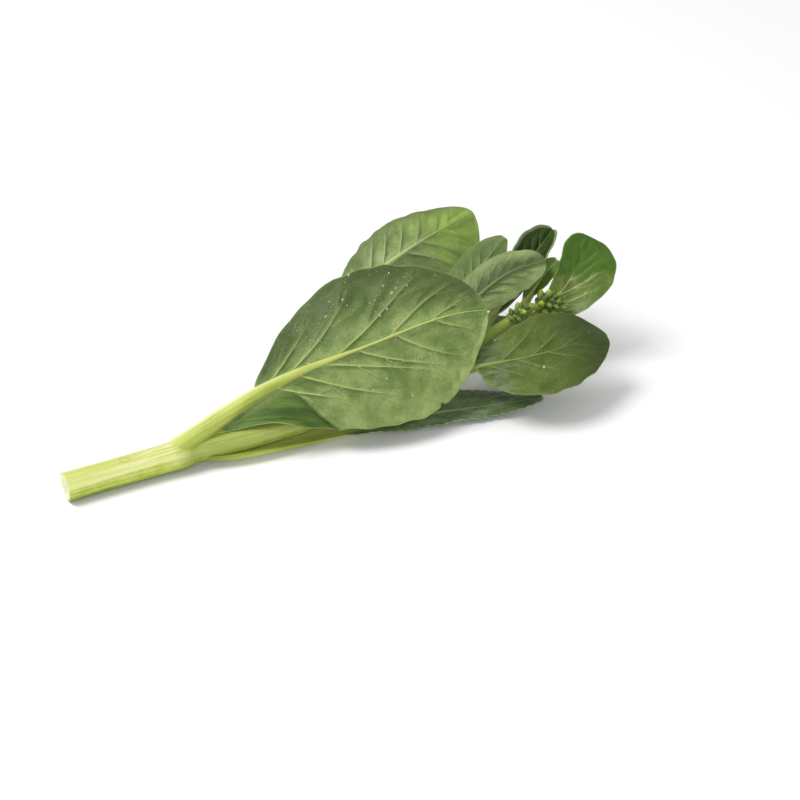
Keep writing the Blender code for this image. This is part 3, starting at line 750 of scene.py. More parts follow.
# %% Light and shade on the tissue
def light_through(tree, point, skin, colour):
    """Painted light: a yellow glow beside the midrib, where light would shine through young tissue."""
    if not skin.glow:
        return colour
    from_middle = add(tree, "ShaderNodeMath", point["across"], -4.0, operation="ADD")
    beside_rib = add(tree, "ShaderNodeMath", from_middle, operation="ABSOLUTE")
    near_rib = add(tree, "ShaderNodeMapRange", beside_rib, 1.0, 8.0, skin.glow, 0.0, **SMOOTH)
    lower_half = add(tree, "ShaderNodeMapRange", point["share"], 0.5, 0.75, 1.0, 0.0, **SMOOTH)
    lit = add(tree, "ShaderNodeMath", near_rib, lower_half, operation="MULTIPLY")
    return add(tree, "ShaderNodeMix", {0: lit, 6: colour, 7: linear(GLOW_YELLOW)}, **COLOURS)


def midrib_crease_shade(tree, point, skin, colour):
    """Painted shade in a crease along the midrib, wider on its far side."""
    if not skin.crease_shade:
        return colour
    near_side = add(tree, "ShaderNodeMapRange", point["across"], -3.5, -0.5, 0.0, skin.crease_shade, **SMOOTH)
    far_side = add(tree, "ShaderNodeMapRange", point["across"], 1.5, 7.0, 1.0, 0.0, **SMOOTH)
    band = add(tree, "ShaderNodeMath", near_side, far_side, operation="MULTIPLY")
    return add(tree, "ShaderNodeMix", {0: band, 6: colour, 7: deeper(skin.dark, 0.34)}, **COLOURS)


def far_half(tree, point, skin, colour):
    """Painted shade on the half away from the light, most at its edge; painted light on the near edge.
    """
    if not skin.far_shade:
        return colour, 0.0
    strength, reach = skin.far_shade
    beyond_rib = add(tree, "ShaderNodeMapRange", point["across"], 1.0, 12.0, 0.0, strength, **SMOOTH)
    to_edge = add(tree, "ShaderNodeMapRange", point["edge"], 0.0, reach, 1.0, 0.0, **SMOOTH)
    painted_far_shade = add(tree, "ShaderNodeMath", beyond_rib, to_edge, operation="MULTIPLY")
    colour = add(tree, "ShaderNodeMix", {0: painted_far_shade, 6: colour, 7: deeper(skin.dark, 0.46)}, **COLOURS)
    # painted light: the outer part of the near half is paler, most towards the tip
    near_edge = add(tree, "ShaderNodeMapRange", point["across"], -28.0, -14.0, 0.2, 0.0, **SMOOTH)
    upper_half = add(tree, "ShaderNodeMapRange", point["share"], 0.6, 0.8, 0.4, 1.0, **SMOOTH)
    pale = add(tree, "ShaderNodeMath", near_edge, upper_half, operation="MULTIPLY")
    return add(tree, "ShaderNodeMix", {0: pale, 6: colour, 7: linear(skin.vein)}, **COLOURS), painted_far_shade


# %% The wrinkled base and the wax
def wrinkled_base(tree, point, colour):
    """The part before the pleat is darker, streaked askew, and lies in the pleat's shade."""
    askew = add(tree, "ShaderNodeMath", point["along"], 0.45, point["across"], operation="MULTIPLY_ADD")
    lengthwise = add(tree, "ShaderNodeMath", point["along"], 22.0, operation="DIVIDE")
    crosswise = add(tree, "ShaderNodeMath", askew, 3.2, operation="DIVIDE")
    lines = add(tree, "ShaderNodeCombineXYZ", lengthwise, crosswise)
    streaks = add(tree, "ShaderNodeTexNoise", {"Vector": lines, "Scale": 1.0, "Detail": 3.0})
    streaks = add(tree, "ShaderNodeMapRange", streaks, 0.34, 0.66, 0.0, 1.0, **SMOOTH)
    # the darker base is partly the leaf's own deeper green and partly painted shade of the lobe that
    # turns away
    streaked = add(tree, "ShaderNodeMix", {0: streaks, 6: linear(BASE_DARK), 7: linear(BASE_LIGHT)},
                   **COLOURS)
    in_base = add(tree, "ShaderNodeMath", point["base"], 0.9, operation="MULTIPLY")
    colour = add(tree, "ShaderNodeMix", {0: in_base, 6: colour, 7: streaked}, **COLOURS)
    shade = add(tree, "ShaderNodeMath", point["fold_shade"], 0.6, operation="MULTIPLY")
    return add(tree, "ShaderNodeMix", {0: shade, 6: colour, 7: deeper(BASE_SHADE, 0.45)}, **COLOURS)


def wax_bloom(tree, point, skin, colour):
    """A thin grey-blue wax lies on the older part of the blade and is rubbed off in streaks."""
    if not skin.wax:
        return colour
    strength, thins_from, gone_from = skin.wax
    smears = add(tree, "ShaderNodeTexNoise",
                 {"Vector": flat_place(tree, point, 12.0, 3.5), "Scale": 1.0, "Detail": 4.0,
                  "Roughness": 0.6})
    thick = add(tree, "ShaderNodeMapRange", smears, 0.42, 0.66, 0.0, strength, **SMOOTH)
    kept = add(tree, "ShaderNodeMapRange", point["share"], thins_from, gone_from, 1.0, 0.1, **SMOOTH)
    waxed = add(tree, "ShaderNodeMath", thick, kept, operation="MULTIPLY")
    return add(tree, "ShaderNodeMix", {0: waxed, 6: colour, 7: linear(WAX_BLUE)}, **COLOURS)


# %% The net of the finest veins
def fine_net(tree, point, skin, patches, painted_far_shade, shown, colour):
    """The finest veins, which enclose fields of about 2.4 mm with walls that are never straight."""
    wobble = add(tree, "ShaderNodeTexNoise",
                 {"Vector": flat_place(tree, point, 3.0, 3.0), "Scale": 1.0, "Detail": 2.0}, out=1)
    shift = add(tree, "ShaderNodeVectorMath", {0: wobble, 3: 0.9}, operation="SCALE")
    bent = add(tree, "ShaderNodeVectorMath", flat_place(tree, point, 2.4, 2.4), shift, operation="ADD")
    fields = add(tree, "ShaderNodeTexVoronoi", {"Vector": bent, "Scale": 1.0},
                 feature="DISTANCE_TO_EDGE")
    walls = add(tree, "ShaderNodeMapRange", fields, 0.0, 0.13, 1.0, 0.0, **SMOOTH)
    uneven = add(tree, "ShaderNodeMapRange", patches, 0.35, 0.65, 0.25, 1.0, **SMOOTH)
    fine = add(tree, "ShaderNodeMath", walls, uneven, operation="MULTIPLY")
    # the net fades in the far half's painted shade
    in_light = add(tree, "ShaderNodeMath", painted_far_shade, -0.85, 1.0, operation="MULTIPLY_ADD")
    fine = add(tree, "ShaderNodeMath", fine, in_light, operation="MULTIPLY")
    fine = add(tree, "ShaderNodeMath", fine, shown, operation="MULTIPLY")
    off_base = add(tree, "ShaderNodeMath", point["base"], -0.8, 1.0, operation="MULTIPLY_ADD")
    fine = add(tree, "ShaderNodeMath", fine, off_base, operation="MULTIPLY")
    seen = add(tree, "ShaderNodeMath", fine, skin.net, operation="MULTIPLY")
    return add(tree, "ShaderNodeMix", {0: seen, 6: colour, 7: linear(skin.vein)}, **COLOURS), fine


# %% The side veins
def side_veins(tree, point, skin, painted_far_shade, shown, colour):
    """Crisp pale side veins, each with paler tissue around it and a line of shade on its right.

    The signed distance changes evenly across a vein, so its line stays crisp between mesh points.
    """
    off_vein = add(tree, "ShaderNodeMath", point["vein_side"], operation="ABSOLUTE")
    clear = add(tree, "ShaderNodeMath", point["vein_clear"], shown, operation="MULTIPLY")
    near_vein = add(tree, "ShaderNodeMapRange", point["vein"], 5.0, 9.0, 1.0, 0.0, **SMOOTH)
    clear = add(tree, "ShaderNodeMath", clear, near_vein, operation="MULTIPLY")
    off_edge = add(tree, "ShaderNodeMapRange", point["edge"], 1.0, 9.0, 0.0, 1.0, **SMOOTH)
    clear = add(tree, "ShaderNodeMath", clear, off_edge, operation="MULTIPLY")
    halo = add(tree, "ShaderNodeMapRange", off_vein, 0.8, 5.0, 0.14, 0.0, **SMOOTH)
    around = add(tree, "ShaderNodeMath", halo, clear, operation="MULTIPLY")
    colour = add(tree, "ShaderNodeMix", {0: around, 6: colour, 7: linear(skin.vein)}, **COLOURS)
    on_right = add(tree, "ShaderNodeMapRange", point["vein_side"], -6.0, -1.6, 0.0, skin.furrow,
                   **SMOOTH)
    below_vein = add(tree, "ShaderNodeMapRange", point["vein_side"], -1.4, -0.7, 1.0, 0.0, **SMOOTH)
    shaded = add(tree, "ShaderNodeMath", on_right, below_vein, operation="MULTIPLY")
    from_rib = add(tree, "ShaderNodeMath", point["rib"], operation="ABSOLUTE")
    off_rib = add(tree, "ShaderNodeMapRange", from_rib, 1.2, 2.4, 0.0, 1.0, **SMOOTH)
    shaded = add(tree, "ShaderNodeMath", shaded, off_rib, operation="MULTIPLY")
    # in the far half's painted shade the line of shade is stronger and the veins less pale
    deeper_still = add(tree, "ShaderNodeMath", painted_far_shade, 0.7, 1.0, operation="MULTIPLY_ADD")
    shaded = add(tree, "ShaderNodeMath", shaded, deeper_still, operation="MULTIPLY")
    shaded = add(tree, "ShaderNodeMath", shaded, clear, operation="MULTIPLY")
    colour = add(tree, "ShaderNodeMix", {0: shaded, 6: colour, 7: deeper(skin.dark, 0.4)}, **COLOURS)
    core = add(tree, "ShaderNodeMapRange", off_vein, 0.35, 1.2, 1.0, 0.0, **SMOOTH)
    in_vein = add(tree, "ShaderNodeMath", core, clear, operation="MULTIPLY")
    paleness = add(tree, "ShaderNodeMath", painted_far_shade, -0.65, 0.8, operation="MULTIPLY_ADD")
    pale = add(tree, "ShaderNodeMath", in_vein, paleness, operation="MULTIPLY")
    return add(tree, "ShaderNodeMix", {0: pale, 6: colour, 7: linear(skin.vein)}, **COLOURS), in_vein


# %% Flecks and the rim
def flecks_and_rim(tree, point, skin, colour):
    """A few dark flecks of soil and bruises, and the thin rim where the skins of both sides meet."""
    flecks = add(tree, "ShaderNodeTexNoise",
                 {"Vector": flat_place(tree, point, 5.0, 5.0), "Scale": 1.0, "Detail": 4.0,
                  "Roughness": 0.7})
    specks = add(tree, "ShaderNodeMapRange", flecks, 0.735, 0.76, 0.0, 0.8, **SMOOTH)
    colour = add(tree, "ShaderNodeMix", {0: specks, 6: colour, 7: deeper(skin.dark, 0.3)}, **COLOURS)
    width, strength, rim_colour = skin.rim
    at_rim = add(tree, "ShaderNodeMapRange", point["edge"], width * 0.2, width, strength, 0.0, **SMOOTH)
    return add(tree, "ShaderNodeMix", {0: at_rim, 6: colour, 7: linear(rim_colour or skin.vein)},
               **COLOURS)


# %% The layer of the stalk and midrib
def stalk_tissue(tree, point, skin):
    """Pale juicy tissue with fibres that run along it; the foot has the colour of the stem."""
    fibres = add(tree, "ShaderNodeTexNoise",
                 {"Vector": flat_place(tree, point, 60.0, 0.8), "Scale": 1.0, "Detail": 3.0})
    juice = add(tree, "ShaderNodeTexNoise",
                {"Vector": flat_place(tree, point, 22.0, 5.0), "Scale": 1.0, "Detail": 2.0})
    fibrous = add(tree, "ShaderNodeMapRange", fibres, 0.3, 0.7, 0.0, 0.4, **SMOOTH)
    watery = add(tree, "ShaderNodeMapRange", juice, 0.3, 0.7, -0.15, 0.2, **SMOOTH)
    tone = add(tree, "ShaderNodeMath", fibrous, watery, operation="ADD")
    # partly the stalk's own colour, partly painted light and shade: the far flank paler, the near one
    # darker
    lit_side = add(tree, "ShaderNodeMapRange", point["rib"], -0.8, 0.9, -0.05, 0.55, **SMOOTH)
    tone = add(tree, "ShaderNodeMath", tone, lit_side, operation="ADD", use_clamp=True)
    stalk = add(tree, "ShaderNodeMix", {0: tone, 6: linear(STALK_DEEP), 7: linear(STALK_PALE)},
                **COLOURS)
    # a painted highlight: a cream line along the far flank, low on the leaf
    line_begins = add(tree, "ShaderNodeMapRange", point["rib"], 0.05, 0.45, 0.0, skin.highlight_cream, **SMOOTH)
    line_ends = add(tree, "ShaderNodeMapRange", point["rib"], 0.55, 1.0, 1.0, 0.35, **SMOOTH)
    bright = add(tree, "ShaderNodeMath", line_begins, line_ends, operation="MULTIPLY")
    low_on_leaf = add(tree, "ShaderNodeMapRange", point["share"], 0.18, 0.5, 1.0, 0.0, **SMOOTH)
    bright = add(tree, "ShaderNodeMath", bright, low_on_leaf, operation="MULTIPLY")
    stalk = add(tree, "ShaderNodeMix", {0: bright, 6: stalk, 7: linear(STALK_HIGHLIGHT_CREAM)}, **COLOURS)
    # the foot is painted lighter on its lit side and darker on its shaded side
    shaded_foot, lit_foot = skin.foot
    to_light = add(tree, "ShaderNodeMapRange", point["rib"], -0.8, 0.8, 0.0, 1.0, **SMOOTH)
    foot = add(tree, "ShaderNodeMix", {0: to_light, 6: linear(shaded_foot), 7: linear(lit_foot)},
               **COLOURS)
    in_foot = add(tree, "ShaderNodeMapRange", point["share"], 0.03, 0.15, 0.9, 0.0, **SMOOTH)
    stalk = add(tree, "ShaderNodeMix", {0: in_foot, 6: stalk, 7: foot}, **COLOURS)
    greener = add(tree, "ShaderNodeMapRange", point["share"], 0.3, skin.rib_until, 0.0, 0.75, **SMOOTH)
    return add(tree, "ShaderNodeMix", {0: greener, 6: stalk, 7: linear(skin.vein)}, **COLOURS), fibres


def stalk_room(tree, point, shown):
    """Where the stalk and midrib are: the middle of the blade, and all that has no blade."""
    from_rib = add(tree, "ShaderNodeMath", point["rib"], operation="ABSOLUTE")
    in_rib = add(tree, "ShaderNodeMapRange", from_rib, 0.72, 1.12, 1.0, 0.0, **SMOOTH)
    off_edge = add(tree, "ShaderNodeMapRange", point["edge"], 0.2, 1.2, 0.0, 1.0, **SMOOTH)
    in_rib = add(tree, "ShaderNodeMath", in_rib, off_edge, operation="MULTIPLY")
    in_rib = add(tree, "ShaderNodeMath", in_rib, shown, operation="MULTIPLY")
    bare = add(tree, "ShaderNodeMapRange", point["leafy"], 0.15, 0.4, 1.0, 0.0, **SMOOTH)
    return add(tree, "ShaderNodeMath", in_rib, bare, operation="MAXIMUM")


# %% Put the layers together
def skin_relief(tree, skin, grain, fine, on_blade, fibres):
    """Bump for what is too fine for the mesh: grain, the net, the edges of the veins, fibres."""
    net_height = add(tree, "ShaderNodeMath", fine, 0.3, operation="MULTIPLY")
    vein_height = add(tree, "ShaderNodeMath", on_blade, 1.3, operation="MULTIPLY")
    relief = add(tree, "ShaderNodeMath", net_height, vein_height, operation="ADD")
    grain_height = add(tree, "ShaderNodeMath", grain, 0.35, operation="MULTIPLY")
    relief = add(tree, "ShaderNodeMath", relief, grain_height, operation="ADD")
    fibre_height = add(tree, "ShaderNodeMath", fibres, 0.5, operation="MULTIPLY")
    relief = add(tree, "ShaderNodeMath", relief, fibre_height, operation="ADD")
    out_or_in = -1.0 if skin.veins_sink else 1.0
    signed = add(tree, "ShaderNodeMath", relief, out_or_in, operation="MULTIPLY")
    return add(tree, "ShaderNodeBump", {"Height": signed, "Distance": 0.00025, "Strength": 1.0})


def leaf_skin(name, skin):
    """Fresh leaf tissue under its clear waxy skin, for one side of one leaf."""
    material, tree, shader = new_material(name, Subsurface_Weight=0.12, Subsurface_Scale=0.0011,
                                          Subsurface_Radius=(0.5, 1.0, 0.15), IOR=1.42,
                                          Specular_IOR_Level=0.36)
    point = read_facts(tree)
    patches, grain, tone, colour = tissue(tree, point, skin)
    colour, shown = fresh_and_shaded_tip(tree, point, skin, patches, tone, colour)
    colour = light_through(tree, point, skin, colour)
    colour = midrib_crease_shade(tree, point, skin, colour)
    colour, painted_far_shade = far_half(tree, point, skin, colour)
    colour = wrinkled_base(tree, point, colour)
    colour = wax_bloom(tree, point, skin, colour)
    colour, fine = fine_net(tree, point, skin, patches, painted_far_shade, shown, colour)
    colour, in_vein = side_veins(tree, point, skin, painted_far_shade, shown, colour)
    colour = flecks_and_rim(tree, point, skin, colour)
    stalk, fibres = stalk_tissue(tree, point, skin)
    in_rib = stalk_room(tree, point, shown)
    colour = add(tree, "ShaderNodeMix", {0: in_rib, 6: colour, 7: stalk}, **COLOURS)
    tree.links.new(colour, shader.inputs["Base Color"])
    on_blade = add(tree, "ShaderNodeMapRange", grain, 0.2, 0.8, skin.roughness - 0.07,
                   skin.roughness + 0.1, **SMOOTH)
    rough = add(tree, "ShaderNodeMix", {0: in_rib, 2: on_blade, 3: STALK_ROUGHNESS})
    tree.links.new(rough, shader.inputs["Roughness"])
    off_rib = add(tree, "ShaderNodeMath", 1.0, in_rib, operation="SUBTRACT")
    vein_on_blade = add(tree, "ShaderNodeMath", in_vein, off_rib, operation="MULTIPLY")
    bump = skin_relief(tree, skin, grain, fine, vein_on_blade, fibres)
    tree.links.new(bump, shader.inputs["Normal"])
    return material


# %% The skins of the ten leaves
# name: (dark, light, vein) of the underside, then of the upper side
SKINS = {
    "largest_leaf": (("#60773a", "#899c5d", "#b2c074"), ("#334f16", "#466620", "#8c9f58")),
    "lower_front_leaf": (("#5f7546", "#809460", "#adbf87"), ("#50653c", "#758b5c", "#a0b182")),
    "front_oval_leaf": (("#465819", "#5c6e2a", "#7b8e4b"), ("#253c11", "#365018", "#6d8043")),
    "far_leaf": (("#738648", "#95a96e", "#b6c388"), ("#3c5c1f", "#55782c", "#a3b870")),
    "back_small_leaf": (("#546934", "#687c40", "#899b5a"), ("#2d4714", "#3e5b1c", "#798e45")),
    "inner_leaf": (("#3a4b1c", "#4c5e2d", "#6f804a"), ("#2c4616", "#3f5b20", "#6d8448")),
    "pale_top_leaf": (("#6c7f48", "#899b60", "#546836"), ("#2c4615", "#3d5a1d", "#768c49")),
    "folded_leaf": (("#536734", "#667a44", "#879760"), ("#26390e", "#364d18", "#687c3c")),
    "young_leaf": (("#435a26", "#566b35", "#7b8d52"), ("#4a651f", "#64852f", "#889c5a")),
    "bright_tip_leaf": (("#556e2d", "#6d853e", "#8ca259"), ("#526a1d", "#687f31", "#c3cf8c")),
}
UNDER_ROUGHNESS, UNDER_NET = 0.52, 0.2
UPPER_ROUGHNESS, UPPER_NET, UPPER_HIGHLIGHT_CREAM = 0.36, 0.12, 0.2
# What sets single leaves apart: see the fields of Skin.
SKIN_MARKS = {
    "largest_leaf": {"furrow": 0.5, "highlight_cream": 0.7, "foot": ("#9db142", "#d8dd7e")},
    "lower_front_leaf": {"wax": (0.45, 0.9, 1.2)},
    "front_oval_leaf": {"wax": (0.5, 0.46, 0.72), "tip": ("#3d4c1d", 0.72, 0.95, 0.0),
                        "rib_until": 0.5},
    "far_leaf": {"tip": ("#8eaa4e", 0.68, 0.92, 0.0), "wax": (0.25, 0.4, 0.6), "furrow": 0.55},
    "pale_top_leaf": {"wax": (0.3, 0.5, 0.9), "furrow": 0.1, "rib_until": 0.5, "crease_shade": 0.85},
    "folded_leaf": {"rim": (2.4, 0.9, "#8f9d7c")},
    # the bright tip leaf: its deeper tip is painted shade, and its glow is painted light
    "bright_tip_leaf": {"tip": ("#436a06", 0.67, 0.76, 0.008), "wax": (0.25, 0.5, 0.75), "glow": 0.6},
}


def skins_of(leaf):
    """The two materials of a leaf: first its upper side, then its underside."""
    under_colours, upper_colours = SKINS[leaf.name]
    marks = SKIN_MARKS.get(leaf.name, {})
    under = Skin(*under_colours, UNDER_ROUGHNESS, UNDER_NET, far_shade=leaf.far_shade, **marks)
    # the upper side's painted highlight line is fainter
    upper = Skin(*upper_colours, UPPER_ROUGHNESS, UPPER_NET, veins_sink=True,
                 **{**marks, "highlight_cream": UPPER_HIGHLIGHT_CREAM})
    return leaf_skin(leaf.name + "_upper_wax", upper), leaf_skin(leaf.name + "_under_bloom", under)


# %% [markdown]
# ## Grow the leaves
#
# Each finished leaf takes the name of its solid with the word fresh before it. It rides on the one
# body of the shoot and takes the place of its solid, which is hidden.

# %% Make the ten leaves
fresh_leaves = {}
for number, leaf in enumerate(LEAVES):
    surface = leaf_mesh(leaf, 100 + 10 * number)
    piece = bpy.data.objects.new("fresh_" + leaf.name, surface)
    bpy.context.scene.collection.objects.link(piece)
    for skin in skins_of(leaf):
        surface.materials.append(skin)
    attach(piece, "root")
    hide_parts(leaf.name)
    fresh_leaves[leaf.name] = piece
    print(leaf.name, "has", len(surface.polygons) * 2, "triangles")

# %% [markdown]
# ## Geometry Nodes helpers
#
# The stem, the heads of buds and the drops of water follow rules: a ring of points goes along a
# thread, a bud stands at every turn of a spiral, a drop sits at a random place on a leaf. Geometry
# Nodes make such things well. One helper starts a tree with named inputs, one ends it, and one grows
# a plain mesh with it, because the finished pieces must not keep a live modifier.


# %% Start, end and use a tree
def new_growth(name, **sizes):
    """A Geometry Nodes tree with named inputs for its sizes; returns it and its inputs."""
    tree = bpy.data.node_groups.new(name, "GeometryNodeTree")
    tree.interface.new_socket("Geometry", in_out="INPUT", socket_type="NodeSocketGeometry")
    tree.interface.new_socket("Geometry", in_out="OUTPUT", socket_type="NodeSocketGeometry")
    for label, value in sizes.items():
        kind = "NodeSocketInt" if isinstance(value, int) else "NodeSocketFloat"
        socket = tree.interface.new_socket(label.replace("_", " "), in_out="INPUT", socket_type=kind)
        socket.default_value = value
    tree.interface.new_socket("Skin", in_out="INPUT", socket_type="NodeSocketMaterial")
    return tree, tree.nodes.new("NodeGroupInput").outputs


def end_growth(tree, given, geometry):
    """Turn instances into plain faces, give them their skin, and send them out."""
    whole = add(tree, "GeometryNodeRealizeInstances", {"Geometry": geometry})
    skinned = add(tree, "GeometryNodeSetMaterial", {"Geometry": whole, "Material": given["Skin"]})
    tree.links.new(skinned, tree.nodes.new("NodeGroupOutput").inputs["Geometry"])


def grow(name, seed_mesh, tree, skin, **sizes):
    """Run a tree on a mesh and keep the result as a plain mesh object without a modifier."""
    piece = bpy.data.objects.new(name, seed_mesh)
    bpy.context.scene.collection.objects.link(piece)
    modifier = piece.modifiers.new("growth", "NODES")
    modifier.node_group = tree
    values = {label.replace("_", " "): value for label, value in sizes.items()}
    for item in tree.interface.items_tree:
        if item.in_out == "INPUT" and item.name in values:
            modifier[item.identifier] = values[item.name]
        if item.name == "Skin":
            modifier[item.identifier] = skin
    grown = piece.evaluated_get(bpy.context.evaluated_depsgraph_get())
    mesh = bpy.data.meshes.new_from_object(grown)
    piece.modifiers.remove(modifier)
    piece.data = mesh
    mesh.name = name + "_surface"
    bpy.data.meshes.remove(seed_mesh)
    print(name, "has", sum(len(face.vertices) - 2 for face in mesh.polygons), "triangles")
    return piece


def read_ramp(tree, value, *pairs):
    """Straight lines between (place, value) pairs, added up as ramps."""
    total = pairs[0][1]
    for (low, start), (high, end) in zip(pairs, pairs[1:]):
        step = add(tree, "ShaderNodeMapRange", value, low, high, 0.0, end - start)
        total = add(tree, "ShaderNodeMath", step, total, operation="ADD")
    return total


# %% [markdown]
# ## The stem
#
# The stem of a choy sum is a juicy rod with shallow grooves, cut flat at one end. Where a leaf
# grows, it swells and ends in a small collar. A bevelled curve would give the same even ring
# everywhere, so the tree bends a flat grid instead: one side of the grid runs along the thread, the
# other around it. The first rows of the grid close the cut end, and there the knife left the woody
# ring standing a little proud of the soft pith.

# %% Measures of the stem
STEM_ROUTE = [(0, 0, 6.2), (26, -1.2, 6.2), (51, -3.2, 6.8), (74, -8, 8.4), (102, -12.8, 11.4),
              (135, -15.5, 15.4), (166, -15.8, 20.6), (195, -13, 26.2), (219, -10, 32)]
# share of the stem and radius there; it swells before each joint and is slimmer after it
STEM_RADII = [(0, 6.1), (0.08, 5.9), (0.19, 6.1), (0.22, 6.3), (0.238, 6.15), (0.252, 5.35),
              (0.45, 4.7), (0.46, 4.85), (0.48, 4.5), (0.70, 3.7), (0.88, 3.0), (0.97, 2.5),
              (0.99, 2.1), (1, 1.2)]
THREAD_POINTS = 260
TIP_SHARE = 0.01          # share of the grid's rows that closes the tip
MERGE_DISTANCE = 1e-6     # in metres: where the grid's two sides and its closed ends meet


# %% The thread that the stem grows along
def thread(name, points, radii):
    """A line of points in metres, with the thickness of the stem at each of them."""
    mesh = bpy.data.meshes.new(name)
    mesh.from_pydata([tuple(p) for p in points], [(i, i + 1) for i in range(len(points) - 1)], [])
    mesh.attributes.new("thickness", "FLOAT", "POINT").data.foreach_set("value", radii)
    return mesh


stem_line, stem_length = smooth_route(STEM_ROUTE)
shares = np.linspace(0, 1, THREAD_POINTS)
stem_thread = thread("stem_thread", (at_share(stem_line, shares) - MIDDLE_OF_SHOOT) * MM,
                     np.interp(shares, *zip(*STEM_RADII)).astype(np.float32) * MM)
print("the stem is", round(stem_length), "mm long")


# %% Steps of the stem's tree
def around_thread(tree, given, share, across, high):
    """Read the thread at a share of its length, and point outward from it at a turn around it."""
    thread_curve = add(tree, "GeometryNodeMeshToCurve", {"Mesh": given["Geometry"]})
    upright = add(tree, "GeometryNodeSetCurveNormal", {"Curve": thread_curve}, mode="Z_UP")
    thickness = add(tree, "GeometryNodeInputNamedAttribute", {"Name": "thickness"})
    sample = add(tree, "GeometryNodeSampleCurve",
                 {"Curves": upright, "Value": thickness, "Factor": share},
                 use_all_curves=True, mode="FACTOR").node.outputs
    upward = add(tree, "ShaderNodeVectorMath", sample["Normal"], sample["Tangent"],
                 operation="CROSS_PRODUCT")
    aside = add(tree, "ShaderNodeVectorMath", {0: sample["Normal"], 3: across}, operation="SCALE")
    above = add(tree, "ShaderNodeVectorMath", {0: upward, 3: high}, operation="SCALE")
    outward = add(tree, "ShaderNodeVectorMath", aside, above, operation="ADD")
    return sample, outward


def grooved(tree, given, around):
    """A factor for the radius, with shallow grooves along the stem that fade and fork, and lumps."""
    grooves = add(tree, "ShaderNodeTexNoise", {"Vector": around, "Scale": 3.4, "Detail": 2.0})
    lumps = add(tree, "ShaderNodeTexNoise", {"Vector": around, "Scale": 0.9, "Detail": 1.0})
    groove_range = add(tree, "ShaderNodeMath", given["Groove Depth"], 2.0, operation="MULTIPLY")
    groove = add(tree, "ShaderNodeMath", grooves, 0.5, operation="SUBTRACT")
    swell = add(tree, "ShaderNodeMath", groove, groove_range, 1.0, operation="MULTIPLY_ADD")
    lump = add(tree, "ShaderNodeMath", lumps, 0.5, operation="SUBTRACT")
    return add(tree, "ShaderNodeMath", lump, 0.05, swell, operation="MULTIPLY_ADD")


def knife_face(tree, given, row, from_cut, around):
    """How far the face that the knife left is sunk in metres: rim, woody ring and soft pith."""
    face = read_ramp(tree, from_cut, (0.0, 1.0), (0.55, 0.8), (0.68, 0.1), (0.80, -0.35), (0.92, 0.05),
                     (1.0, 0.0))
    crumbs = add(tree, "ShaderNodeTexNoise", {"Vector": around, "Scale": 6.0, "Detail": 3.0})
    crumb = add(tree, "ShaderNodeMath", crumbs, 0.5, operation="SUBTRACT")
    face = add(tree, "ShaderNodeMath", crumb, 0.5, face, operation="MULTIPLY_ADD")
    just_inside = add(tree, "ShaderNodeMath", given["Cut Share"], 0.999, operation="MULTIPLY")
    at_cut = add(tree, "ShaderNodeMath", row, just_inside, operation="LESS_THAN")
    face = add(tree, "ShaderNodeMath", face, at_cut, operation="MULTIPLY")
    pith_depth = add(tree, "ShaderNodeMath", given["Pith Depth"], MM, operation="MULTIPLY")
    return add(tree, "ShaderNodeMath", face, pith_depth, operation="MULTIPLY")


